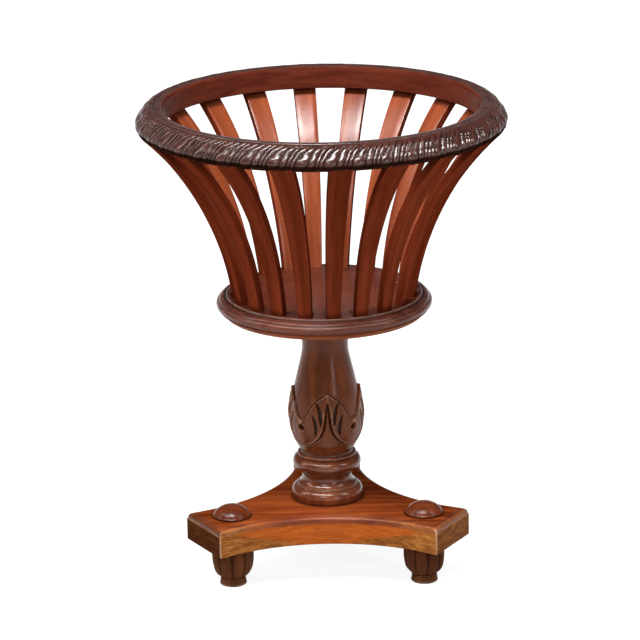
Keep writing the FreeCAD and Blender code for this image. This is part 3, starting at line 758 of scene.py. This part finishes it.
# Section of the rim: its inner foot and inner top as (out from the inner face, up), and its lower fillet
INNER_FOOT = [(8, 0), (1, 0), (0, 1), (0, 8), (0, 16), (0, 24)]
INNER_TOP = [(0, -1.2), (0.4, -0.4), (1.2, 0), (6, 0), (10.6, 0), (11.1, -0.5), (11.6, -1.1), (12.2, -0.3),
             (12.9, 0.05)]
FILLET = [(251.0, 640.2), (250.3, 639.4), (250.3, 638.4), (250.9, 637.4), (250.9, 636.5), (250.2, RIM_LOW),
          (243, RIM_LOW), (234, RIM_LOW)]


def rim_section():
    """Closed section of the rim from its inner foot, over the crown and back.

    Gives its points, how far down the carving each one is, and which ones are carved.
    """
    inner = RIM_RADIUS - RIM_WIDTH
    lead = np.vstack([np.array(INNER_FOOT) + [inner, RIM_LOW], np.array(INNER_TOP) + [inner, RIM_TOP]])
    plain = np.radians(np.linspace(90, CARVE_HIGH, 4, endpoint=False))
    carved = np.radians(np.linspace(CARVE_HIGH, CARVE_LOW, CARVE_ROWS))
    turns = np.concatenate([plain, carved])
    crown = [CROWN_OUT, CROWN_LEVEL] + CROWN_RADIUS * np.column_stack([np.cos(turns), np.sin(turns)])
    before = np.zeros(len(lead) + len(plain))
    share = np.concatenate([before, np.linspace(0, 1, CARVE_ROWS), np.linspace(1, 0, len(FILLET) + 1)[:-1]])
    zone = np.concatenate([before, np.ones(CARVE_ROWS), np.zeros(len(FILLET))])
    return np.vstack([lead, crown, FILLET]), share, zone


def lobe(across, low, high, rise):
    """Rounded ridge between two edges, in millimetres along the rim."""
    middle = (low + high) / 2
    half = np.maximum((high - low) / 2, 0.05)
    return rise * np.clip(1 - ((across - middle) / half) ** 2, 0, 1) ** 0.48


def round_end(share, stop, length):
    """Lets a ridge run out in a round end at a share of the carving's depth."""
    past = np.clip((share - stop + length) / length, 0, 1)
    return np.sqrt(1 - past * past)


def gadroon_relief(across, share, pitch):
    """Height of the carving: a broad tongue, a leaf, a reed and a second leaf, all fanning out downwards."""
    spread = smooth(0.1, 0.75, share)
    tongue_half = (4.8 + 3.8 * spread) * round_end(share, 1.06, 0.16)
    edges = [4.9 + 3.7 * spread, 15.0 + 3.2 * spread, 21.4 + 2.2 * spread, pitch - 4.9 - 3.7 * spread]
    wrapped = (across + pitch / 2) % pitch - pitch / 2
    from_tongue = across % pitch
    swell = 0.72 + 0.4 * hump(share, 0.8, 0.25)
    ridges = [lobe(wrapped, -tongue_half, tongue_half, 2.8 * swell)]
    for low, high, rise, stop in zip(edges, edges[1:], (2.5, 1.8, 2.4), (1.03, 0.99, 1.02)):
        narrowing = 0.25 * smooth(stop - 0.12, stop, share)
        middle = (low + high) / 2
        half = (high - low - 0.5) / 2 * (1 - narrowing)
        ridge = lobe(from_tongue, middle - half, middle + half, rise * swell)
        ridges.append(ridge * round_end(share, stop, 0.06))
    return np.max(ridges, axis=0)


def make_rim_unit():
    """One unit of the rim's carving with the whole section of the rim under it."""
    section, share, zone = rim_section()
    pitch = math.radians(UNIT_TURN) * RIM_RADIUS
    ahead = np.roll(section, -1, 0) - np.roll(section, 1, 0)
    outward = np.column_stack([-ahead[:, 1], ahead[:, 0]]) / np.hypot(*ahead.T)[:, None]
    across = np.linspace(0, pitch, UNIT_COLUMNS + 1)[:, None]
    scoop = 2.0 + 3.1 * hump(share, 0.49, 0.28)
    ridges = gadroon_relief(across, share[None, :], pitch)
    fade = zone * smooth(0.0, 0.14, share)
    depth = (ridges - scoop) * fade
    radius = section[:, 0] + depth * outward[:, 0]
    level = section[:, 1] + depth * outward[:, 1]
    lean = math.radians(LEAN) * ((1 - share) ** LEAN_POWER - 1)
    points = round_points(radius, across / RIM_RADIUS + lean, level)
    # hollow marks the grooves between the ridges for painted shade
    values = {"carved": np.broadcast_to(zone, ridges.shape).ravel(),
              "hollow": (smooth(1.1, 0.15, ridges) * fade).ravel()}
    return new_mesh("rim_unit", points, band_faces(UNIT_COLUMNS + 1, len(section)), values)


def cut_segment(ring, number):
    """One quarter of the ring between two seams, with its ends closed."""
    part = bmesh.new()
    part.from_mesh(ring)
    for turn, side in ((SEAM_TURN + 90 * number, 1), (SEAM_TURN + 90 * number + 90, -1)):
        away = Vector((-math.sin(math.radians(turn)), math.cos(math.radians(turn)), 0)) * side
        bmesh.ops.bisect_plane(part, geom=[*part.verts, *part.edges, *part.faces],
                               plane_co=away * SEAM_GAP * MM, plane_no=away, clear_inner=True)
    bmesh.ops.holes_fill(part, edges=[edge for edge in part.edges if edge.is_boundary])
    mesh = bpy.data.meshes.new(f"carved_rim_{number + 1}")
    part.to_mesh(mesh)
    part.free()
    return mesh


def make_rim():
    """Segments of the rim: carving, a plain inner band, and the fillets and grounds of the carving, dull and
    darker with painted shade.
    """
    lean_low = LEAN * ((1 - TONGUE_SHARE) ** LEAN_POWER - 1)
    first = FRONT + math.radians(FIRST_TONGUE - lean_low)
    ring = carved_ring("rim_ring", make_rim_unit(), UNIT_COUNT, rim_wood, first, RIM_WAVER, RIM_SEED)
    segments = []
    for number in range(RIM_SEGMENTS):
        mesh = cut_segment(ring, number)
        radius, level = face_spots(mesh)
        # Faces in deep grooves and on the lower fillet get the darker fillet wood: painted shade
        shaded = (face_means(mesh, "hollow") > GROUND_SHARE) | (level < FILLET_LEVEL) & (radius > CROWN_OUT)
        finishes = np.where(radius < BAND_RADIUS, 1, np.where(shaded, 2, 0))
        segments.append(show_mesh(mesh, (rim_wood, rim_band_wood, rim_shaded_fillet_wood), finishes))
    bpy.data.meshes.remove(ring)
    return segments


# Basket floor

MORTISE_IN = 1.3
MORTISE_SIDE = 0.3
MORTISE_EASE = 0.6
FLOOR_RINGS = (95, 60, 25)
EDGE_WIDTH = 13.5
UNDERSIDE_DROP = 17.7

# Moulded edge from the underside to the ledge, as (out from the rim of the disc, up from its top, bow)
FLOOR_EDGE = [
    (-6.4, -22.1), (-5.6, -21.1), (-3.4, -20.9), (-3.4, -17.9, -1.5), (-3.6, -17.3), (-0.8, -16.7),
    (0, -15.1, 0.4), (-2.2, -8.1, 1.3), (-3.4, -7.7), (-3.8, -6.3), (-9.9, -2.8, 0.9), (-11.1, -3.8),
    (-12.7, -3.6), (-13.3, -2.6), (-13.3, -0.9), (-14.2, 0), (-16.8, 0)]


def floor_edge():
    """Profile of the floor from the middle of its underside over the moulded edge to the ledge."""
    low = FLOOR_LOW - FLOOR_TOP
    return profile([(-FLOOR_RADIUS, low), (-11.3, low), *FLOOR_EDGE], 0.6) + [FLOOR_RADIUS, FLOOR_TOP]


def make_floor():
    """Moulded disc with an open mortise for each slat."""
    edge = floor_edge()
    outer, inner = SLAT_FOOT_OUT + MORTISE_IN, SLAT_FOOT_OUT - SLAT_THICK - MORTISE_SIDE
    flats = (outer + MORTISE_EASE, outer, inner, inner - MORTISE_EASE, *FLOOR_RINGS)
    rows = np.vstack([edge[1:], [(radius, FLOOR_TOP) for radius in flats]])
    mouth_row = len(edge)
    half = SLAT_FOOT_WIDTH / 2 + MORTISE_SIDE
    pitch = math.tau / SLAT_COUNT
    sides = np.array([-half - MORTISE_EASE, -half, -half / 3, half / 3, half, half + MORTISE_EASE])
    pocket = sides / ((outer + inner) / 2)
    between = np.linspace(pocket[-1], pitch + pocket[0], 8)[1:-1]
    spread = np.concatenate([pocket, between])
    count = len(spread)
    columns = count * SLAT_COUNT
    starts = FRONT + math.radians(SLAT_PHASE) + pitch * np.arange(SLAT_COUNT)
    turns = (starts[:, None] + spread[None, :]).ravel()
    levels = np.repeat(rows[:, 1:], columns, 1)
    in_pocket = np.tile([0, 1, 1, 1, 1, 0] + [0] * len(between), SLAT_COUNT)
    levels[mouth_row:mouth_row + 2] -= MORTISE_EASE * in_pocket
    points = round_points(rows[:, :1], turns, levels, (FLOOR_LOW, FLOOR_TOP))
    pockets = range(mouth_row * columns, (mouth_row + 1) * columns, count)
    open_quads = {start + number for start in pockets for number in (1, 2, 3)}
    faces = [face for face in turned_faces(len(rows), columns) if face[0] not in open_quads]
    sunk_points = []
    for start in pockets:
        mouth = [start + number for number in (1, 2, 3, 4)]
        mouth += [start + columns + number for number in (4, 3, 2, 1)]
        first = len(points) + len(sunk_points)
        sunk = list(range(first, first + len(mouth)))
        sunk_points.extend(points[mouth] - [0, 0, SLAT_HOUSING])
        for here in range(len(mouth)):
            faces.append((mouth[here - 1], mouth[here], sunk[here], sunk[here - 1]))
        faces.append(tuple(sunk))
    radius, level = rows[:, 0] - FLOOR_RADIUS, rows[:, 1] - FLOOR_TOP
    # Painted shade in the quirks and the mortises; pale lines on the arrises are painted highlight with wear
    quirks = hump(level, -3.6, 0.8) * (radius < -9.4) + 0.7 * hump(level, -7.4, 0.6)
    quirks = quirks + hump(level, -17.4, 0.5) + hump(level, -21.3, 0.6)
    arrises = hump(level, -0.5, 0.7) * hump(radius, -13.8, 1.0) + 0.7 * hump(level, -8.4, 0.7)
    values = {"hollow": np.concatenate([np.repeat(quirks, columns), [0, 0], np.ones(len(sunk_points))]),
              "rub": np.concatenate([np.repeat(arrises, columns), [0, 0], np.zeros(len(sunk_points))])}
    mesh = new_mesh("basket_disc", np.vstack([points, sunk_points]), faces, values)
    radius, level = face_spots(mesh)
    edged = radius > FLOOR_RADIUS - EDGE_WIDTH
    # The lower band and the underside take the lightened copy, painted light
    finishes = np.where(level < FLOOR_TOP - UNDERSIDE_DROP, 2, np.where(edged, 1, 0))
    return show_mesh(mesh, (floor_wood, moulding_wood, underside_lightened_wood), finishes)


# Turned and carved column

# Carving of the bulb: lines as (levels, turns from the middle of a leaf)
LEAF_TURN = 47
LEAF_EDGE = ([183, 185, 186.5, 190, 195.5, 203, 212, 222, 233, 241, 249, 254],
             [-8, 0, 7, 15, 25, 33, 38, 40, 42, 43, 44.5, 47])
TONGUE = ([225, 226.5, 228, 232, 240, 248, 254, 259, 264, 266],
          [-8, 0, 7.5, 10.5, 15, 20, 27, 35, 43, 48])
SLOT = ([219, 227, 233, 242, 252], [34.6, 34.2, 33.6, 31.6, 27])
CRESCENT = ([204, 214, 223, 234], [25, 26.6, 25, 21])
GOUGE_HALF = 2.9
EYE_LEVEL = 214
EYE_RADIUS = 4.6
NUB_LEVEL = 223.5
LEAF_DEGREE = 0.85
RELIEF_SCALE = 1.25

# Turnings under the bulb as (radius, height, bow), and the bulb as (heights, radii), above the platform
TURNINGS = [(0, 0), (47.8, 0), (49.5, 6, 0.5), (43, 19.5, 2.8), (42.4, 19.8), (42.3, 21), (41.2, 21.2),
            (41.0, 22.3), (40.2, 22.6), (39.4, 43, -5.2), (39.4, 44), (39.4, 62.4, 8.2), (38.6, 62.8),
            (38.6, 68, 2.6), (36.4, 68.3), (36, 70.6)]
TURNINGS_HIGH = 71
BULB = ([70.6, 78, 86, 95, 106, 119, 129, 142, 157, 171, 183, 195, 206, 217, 227, 238, 248, 256, 264],
        [36.0, 40.6, 44.0, 46.8, 48.8, 49.6, 49.5, 48.3, 45.8, 42.5, 39.8, 36.9, 34.4, 32.4, 32.2, 33.8, 37.2,
         41.2, 46.4])
BULB_STEP = 0.7
CARVING_TOP = 272
COARSE_ROWS = 4
HEAD_RADIUS = 47.2
HEAD_ROOM = 0.1
COLUMN_SIDES = 288


def gouge(side, level, path):
    """Share of the depth of a slot that follows a path of (levels, turns) and tapers to both its ends."""
    low, high = path[0][0], path[0][-1]
    middle, reach = (low + high) / 2, (high - low) / 2
    width = GOUGE_HALF * np.sqrt(np.clip(1 - ((level - middle) / reach) ** 2, 0, 1))
    return smooth(-0.6, 0.9, width - np.abs(side - np.interp(level, *path))) * (width > 0)


def leaf_relief(turn, level):
    """How far the four carved leaves stand out from the turned bulb."""
    side = np.abs((turn - LEAF_TURN + 45) % 90 - 45)
    edge = np.interp(level, *LEAF_EDGE)
    tongue = np.interp(level, *TONGUE)
    hanging = smooth(224, 228, level)
    blade = smooth(-0.6, 1.6, edge - side) * smooth(-0.6, 1.4, side - tongue)
    relief = 1.7 * blade
    relief += 1.0 * hump(edge - side, 3.0, 1.5) * blade
    relief -= 2.3 * hump(side - edge, 0.5, 1.5) * smooth(258, 248, level)
    relief -= 1.2 * hump(tongue - side, 0.8, 1.0) * hanging
    relief += 0.8 * hump(side - tongue, 2.6, 1.4) * blade * hanging
    relief -= 3.6 * gouge(side, level, SLOT)
    relief -= 3.4 * gouge(side, level, CRESCENT)
    rib = hump(side - (edge + np.interp(level, *SLOT)) / 2, 0, 2.0)
    relief += 0.7 * rib * blade * smooth(216, 222, level)
    eye = np.hypot(side * LEAF_DEGREE, level - EYE_LEVEL)
    relief -= 5.2 * smooth(-0.4, 1.4, EYE_RADIUS - eye)
    relief += 0.8 * hump(eye, EYE_RADIUS + 1.5, 1.1)
    nub = np.hypot(side * LEAF_DEGREE * 0.6, level - NUB_LEVEL)
    relief += 1.5 * hump(nub, 0, 2.4)
    dart = np.clip((side - edge) / np.maximum(45.5 - edge, 0.3), 0, 1)
    relief += 1.0 * smooth(0.1, 1, dart) * smooth(256, 240, level)
    return RELIEF_SCALE * relief * smooth(182, 186, level) * smooth(271, 263, level)


def smooth_curve(rises, radii, step):
    """Smooth run of radii through the given ones, by cubic pieces with level-headed slopes."""
    rises, radii = np.array(rises, float), np.array(radii, float)
    slopes = np.gradient(radii, rises)
    at = np.arange(rises[0] + step, rises[-1] + step / 2, step)
    index = np.clip(np.searchsorted(rises, at) - 1, 0, len(rises) - 2)
    width = rises[index + 1] - rises[index]
    share = (at - rises[index]) / width
    rest = 1 - share
    start = radii[index] * (1 + 2 * share) * rest ** 2 + slopes[index] * width * share * rest ** 2
    end = radii[index + 1] * share ** 2 * (3 - 2 * share) - slopes[index + 1] * width * share ** 2 * rest
    return np.column_stack([start + end, at])


def make_column():
    """Column from the platform to the floor: turnings, then the carved bulb in fine rows and its throat."""
    base = split_runs(profile(TURNINGS, 0.6), 3)
    bulb = smooth_curve(*BULB, BULB_STEP)
    carved = bulb[:, 1] <= CARVING_TOP - PLATFORM_TOP
    bulb = bulb[carved | (np.arange(len(bulb)) % COARSE_ROWS == 0)]
    high = FLOOR_LOW - HEAD_ROOM - PLATFORM_TOP
    head = profile([(BULB[1][-1], 264), (HEAD_RADIUS, 265), (HEAD_RADIUS, high), (0, high)], 0.7)
    points = np.vstack([base, bulb, head]) + [0, PLATFORM_TOP]
    mesh = lathe("turned_column", points, COLUMN_SIDES, relief=leaf_relief)
    _, level = face_spots(mesh)
    return show_mesh(mesh, (column_wood, turning_wood), level < PLATFORM_TOP + TURNINGS_HIGH)


# Tripod platform

REACH = 200
HOLLOW_RADIUS = 237.2
HOLLOW_OUT = 327.2
CORNER_CUT = 3.5
SIDE_STEPS = 22
END_STEPS = (0.0, 0.35, 0.7, 1.0)
CORNER_STEPS = (0.25, 0.5, 0.75)
CORNER_END_SHARES = (0.9, 0.5, 0.1)
SIDE_DROP = 8.4
SIDE_HEIGHT = 31

# Moulding of the top edge, as (in from the outline, up from the top, bow)
PLATFORM_MOULDING = [
    (0, -10.6), (0, -9.2), (0.2, -8.8), (1.0, -8.6), (1.2, -7.9), (7.6, -1.3, -2.2), (8.0, -1.2), (8.3, -0.3),
    (8.8, 0), (14, 0)]


def both_sides(values, flip=1):
    """A run of values from the middle of an arm's end, with its mirror image put before it."""
    return np.concatenate([values[1:-1][::-1] * flip, values])


def platform_loop(inset):
    """Plan of the platform set in by an amount: points, run along the hollow sides, and arm-end share."""
    third = math.radians(60)
    hollow = np.array([HOLLOW_OUT * math.cos(third), HOLLOW_OUT * math.sin(third)])
    bend = HOLLOW_RADIUS + inset
    reach = REACH - inset
    half = hollow[1] - math.sqrt(bend ** 2 - (hollow[0] - reach) ** 2)
    corner = np.array([reach, half])
    first = math.atan2(*(corner - hollow)[::-1]) % math.tau
    middle = math.pi + third
    skip = CORNER_CUT / bend
    sweep = first - skip + (middle - first + skip) * np.linspace(0, 1, SIDE_STEPS)
    side = hollow + bend * np.column_stack([np.cos(sweep), np.sin(sweep)])
    near, far = np.array([reach, half - CORNER_CUT]), side[0]
    bends = [near * (1 - t) ** 2 + corner * 2 * t * (1 - t) + far * t * t for t in CORNER_STEPS]
    end = [near * [1, share] for share in END_STEPS]
    points = both_sides(np.vstack([end, bends, side]), [1, -1])
    run = both_sides(np.concatenate([np.ones(len(end) + len(bends)), np.linspace(1, 0, SIDE_STEPS)]))
    arm_end = both_sides(np.concatenate([np.ones(len(end)), CORNER_END_SHARES, np.zeros(SIDE_STEPS)]))
    loop = []
    for degrees in ARM_TURNS.values():
        turn = math.radians(degrees)
        turned = np.array([[math.cos(turn), math.sin(turn)], [-math.sin(turn), math.cos(turn)]])
        loop.append(points @ turned)
    return np.vstack(loop), np.tile(run, len(loop)), np.tile(arm_end, len(loop))


def platform_edge():
    """Section of the platform's edge from its underside to its top: how far in, and up from its top."""
    low = PLATFORM_LOW - PLATFORM_TOP
    return profile([(6, low), (0.7, low), (0, low + 0.7), (0, low / 2), *PLATFORM_MOULDING], 0.35)


def make_platform():
    """Platform with its flat faces, and a glossier moulding round its top edge."""
    rows = platform_edge()
    loops, runs, ends = [np.array(lists) for lists in zip(*[platform_loop(inset) for inset in rows[:, 0]])]
    inset, level = rows[:, :1], rows[:, 1:]
    count = runs.shape[1]
    points = np.dstack([loops, np.repeat(level + PLATFORM_TOP, count, 1)]).reshape(-1, 3)
    arris = hump(level, -9.0, 0.7) * (0.05 + 0.25 * ends) + 0.05 * hump(inset, 8.5, 0.5)
    corner = (4 * ends * (1 - ends)) ** 2 * (level < -4)
    # hollow marks the moulding's quirk lines for painted shade
    values = {
        "hollow_run": runs, "arm_end": ends, "edge_drop": np.clip((-SIDE_DROP - level) / SIDE_HEIGHT, 0, 1),
        "rub": np.maximum(arris, corner),
        "hollow": 0.55 * hump(inset, 8.0, 0.35) + 0.5 * hump(level, -8.5, 0.3)}
    values = {label: np.broadcast_to(numbers, runs.shape).ravel() for label, numbers in values.items()}
    faces = band_faces(len(rows), count)
    faces.append(tuple(reversed(range(count))))
    faces.append(tuple(range((len(rows) - 1) * count, len(rows) * count)))
    mesh = new_mesh("tripod_platform", points, faces, values)
    _, level = face_spots(mesh)
    moulded = (level > PLATFORM_TOP - 8.2) & (level < PLATFORM_TOP - 0.8)
    return show_mesh(mesh, (platform_wood, platform_edge_wood), moulded)


# Bosses and feet

# Boss as (radius, height above the platform, bow)
BOSS = [(0, -0.6), (25.4, -0.6), (25.9, 0.2), (26.5, 0.9), (26.5, 2.2), (25.6, 2.9), (0, 15, 4.4)]
BOSS_SIDES = 72

# Foot: its collar as (radius, height), then how its body swells over shares of the height left
FOOT_COLLAR = [(0, 0), (17.6, 0), (18.9, 1.4), (18.3, 4), (17.4, 10.6), (16.9, 11.4), (16.7, 11.8)]
COLLAR_RADIUS, COLLAR_HIGH = FOOT_COLLAR[-1]
FOOT_SHARES = [0, 0.09, 0.18, 0.35, 0.55, 0.70, 0.86, 1]
FOOT_SWELL = [16.7, 22.4, 25.4, 27.7, 28.8, 28.9, 28.7, 28.2]
FOOT_BELLIES = {"back": 28.6, "left": 29.0, "right": 28.4}
FOOT_TURNS = {"back": 0.0, "left": -1.6, "right": 9.6}
FOOT_STEP = 1.4
FOOT_WAVER = 0.5
FOOT_SEED = 5
FOOT_REEDS = 9
FOOT_COLUMNS = 16
REEDS_START = (11.2, 17)
REED_DEPTH = 2.6
REED_RISE = 0.5
REED_ROUND = 0.985


def make_boss(arm):
    mesh = lathe(f"boss_dome_{arm}", profile(BOSS, 0.5) + [0, PLATFORM_TOP], BOSS_SIDES, arm_place(arm))
    return show_mesh(mesh, [boss_wood])


def make_foot(arm):
    """Turned foot with a plain collar and nine carved reeds."""
    swelling = np.array(FOOT_SWELL) + FOOT_BELLIES[arm] - max(FOOT_SWELL)
    swelling[0] = COLLAR_RADIUS
    levels = COLLAR_HIGH + (PLATFORM_LOW - COLLAR_HIGH) * np.array(FOOT_SHARES)
    body = smooth_curve(levels, swelling, FOOT_STEP)
    ring = np.vstack([profile(FOOT_COLLAR, 0.6)[1:], body, (swelling[-1], PLATFORM_LOW)])
    gore = math.tau / FOOT_REEDS
    turns = np.linspace(-gore / 2, gore / 2, FOOT_COLUMNS + 1)
    bow = 1 - np.sqrt(np.clip(1 - (turns / (gore / 2)) ** 2 * REED_ROUND, 0, 1))
    reeded = smooth(*REEDS_START, ring[:, 1:])
    radius = ring[:, :1] - REED_DEPTH * bow * reeded + REED_RISE * reeded * (1 - bow)
    points = round_points(radius, turns, ring[:, 1:], (0, PLATFORM_LOW))
    # Painted shade in the grooves between the reeds
    hollow = 0.8 * smooth(0.15, 0.85, bow) * reeded
    rub = np.repeat(hump(ring[:, 1], 1.6, 1.6), len(turns))
    values = {"carved": np.ones(len(points)), "hollow": np.append(hollow.ravel(), [0, 0]),
              "rub": np.append(rub, [0, 0])}
    unit = new_mesh(f"foot_gore_{arm}", points, turned_faces(len(ring), len(turns), closed=False), values)
    first = FRONT + math.radians(FOOT_TURNS[arm]) + gore / 2
    mesh = carved_ring(f"reeded_foot_{arm}", unit, FOOT_REEDS, foot_wood, first, FOOT_WAVER, FOOT_SEED,
                       (*arm_place(arm), 0))
    return show_mesh(mesh)


# The object

def dress(piece, slot, *nodes):
    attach(piece, "root")
    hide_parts(*nodes)


dress(make_slats(), "slat_mahogany", *[f"slat_{number:02d}" for number in range(1, SLAT_COUNT + 1)])
for number, segment in enumerate(make_rim(), start=1):
    dress(segment, "rim_mahogany", f"rim_segment_{number}")
dress(make_floor(), "floor_mahogany", "basket_floor")
dress(make_column(), "turned_mahogany", "column")
dress(make_platform(), "platform_mahogany", "platform")
for arm in ARM_TURNS:
    dress(make_boss(arm), "dark_turned_mahogany", f"boss_{arm}")
    dress(make_foot(arm), "dark_turned_mahogany", f"foot_{arm}")
for node in ("column_wedge", "rim_dowels"):
    give_materials(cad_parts[node].data, [hidden_wood])


# Studio

FLOOR_SIZE = 24
FLOOR_GREY = (0.34, 0.34, 0.34, 1)
SURROUND_GREY = (0.10, 0.10, 0.105)
WHITE = (1, 1, 1)
COOL_WHITE = (0.80, 0.90, 1.0)


def background_rays(nodes):
    """Rays that see the white background: from the camera, or by way of gloss or glass."""
    path = nodes.add("ShaderNodeLightPath").outputs
    mirrored = nodes.most(path["Is Glossy Ray"], path["Is Transmission Ray"])
    return nodes.most(path["Is Camera Ray"], mirrored)


def make_studio_floor():
    """Pale floor that looks white to the camera and keeps the object's shadow."""
    half = FLOOR_SIZE / 2
    corners = [(-half, -half, 0), (half, -half, 0), (half, half, 0), (-half, half, 0)]
    mesh = bpy.data.meshes.new("studio_floor")
    mesh.from_pydata(corners, [], [(0, 1, 2, 3)])
    material, nodes = new_material("studio_floor")
    diffuse = nodes.first("ShaderNodeBsdfDiffuse", {"Color": FLOOR_GREY})
    seen = background_rays(nodes)
    spot = nodes.add("ShaderNodeTexCoord").outputs["Object"]
    away = nodes.add("ShaderNodeVectorMath", {0: spot}, operation="LENGTH").outputs["Value"]
    whiteness = nodes.span(away, 0.5, 2.6, 0.88, 1.0)
    glow = nodes.first("ShaderNodeEmission", {"Strength": nodes.times(seen, whiteness)})
    both = nodes.first("ShaderNodeAddShader", {0: diffuse, 1: glow})
    nodes.add("ShaderNodeOutputMaterial", {"Surface": both})
    mesh.materials.append(material)
    floor = add_object("studio_floor", mesh)


def add_panel(name, spot, aim, width, height, watts, colour=WHITE):
    """Soft rectangular lamp that faces a point of the object."""
    lamp = bpy.data.lights.new(name, "AREA")
    lamp.shape = "RECTANGLE"
    lamp.size = width
    lamp.size_y = height
    lamp.energy = watts
    lamp.color = colour
    holder = add_object(name, lamp)
    holder.location = spot
    holder.rotation_euler = (Vector(aim) - Vector(spot)).to_track_quat("-Z", "Y").to_euler()


def make_world():
    """Dim grey surround with a white backdrop up to just above the horizon."""
    world = bpy.data.worlds.new("studio")
    world.use_nodes = True
    nodes = Nodes(world.node_tree)
    level = nodes.parts(nodes.add("ShaderNodeTexCoord").outputs["Generated"])[2]
    backdrop = nodes.times(background_rays(nodes), nodes.span(level, 0.12, 0.02))
    shade = nodes.blend(backdrop, SURROUND_GREY, WHITE)
    light = nodes.first("ShaderNodeBackground", {"Color": shade, "Strength": 1.0})
    nodes.add("ShaderNodeOutputWorld", {"Surface": light})
    bpy.context.scene.world = world


CAMERA_SPOT = (-0.006405, -4.8, 1.834287)
CAMERA_DOWN = 17.095141
CAMERA_ROLL = -0.969516
CAMERA_FOCAL_PIXELS = 3617.4176
IMAGE_PIXELS = 640
SENSOR_WIDTH = 36


def make_camera():
    camera = bpy.data.cameras.new("photo_view")
    camera.sensor_width = SENSOR_WIDTH
    camera.lens = CAMERA_FOCAL_PIXELS / IMAGE_PIXELS * SENSOR_WIDTH
    holder = add_object("photo_view", camera)
    tilt = Matrix.Rotation(math.radians(90 - CAMERA_DOWN), 4, "X")
    roll = Matrix.Rotation(math.radians(CAMERA_ROLL), 4, "Z")
    holder.matrix_world = Matrix.Translation(CAMERA_SPOT) @ tilt @ roll
    bpy.context.scene.camera = holder


make_studio_floor()
make_world()
add_panel("panel_wide", (-0.14, -1.1, 2.7), (0, 0, 0.45), 1.15, 0.5, 92)
add_panel("side_left", (-2.2, 0.05, 1.85), (0, 0, 0.6), 0.24, 1.9, 19)
add_panel("front_soft", (-0.8, -3.9, 2.6), (0, 0, 0.4), 1.5, 1.0, 40)
add_panel("window_left", (-1.45, -1.05, 2.95), (0, 0, 0.6), 1.2, 0.6, 40)
add_panel("side_right", (2.2, -0.8, 2.4), (0, 0, 0.6), 0.3, 1.6, 22)
add_panel("window_right", (2.0, -3.35, 1.15), (0, 0, 0.4), 0.3, 0.9, 17, COOL_WHITE)
make_camera()
bpy.context.scene.view_settings.view_transform = "Standard"
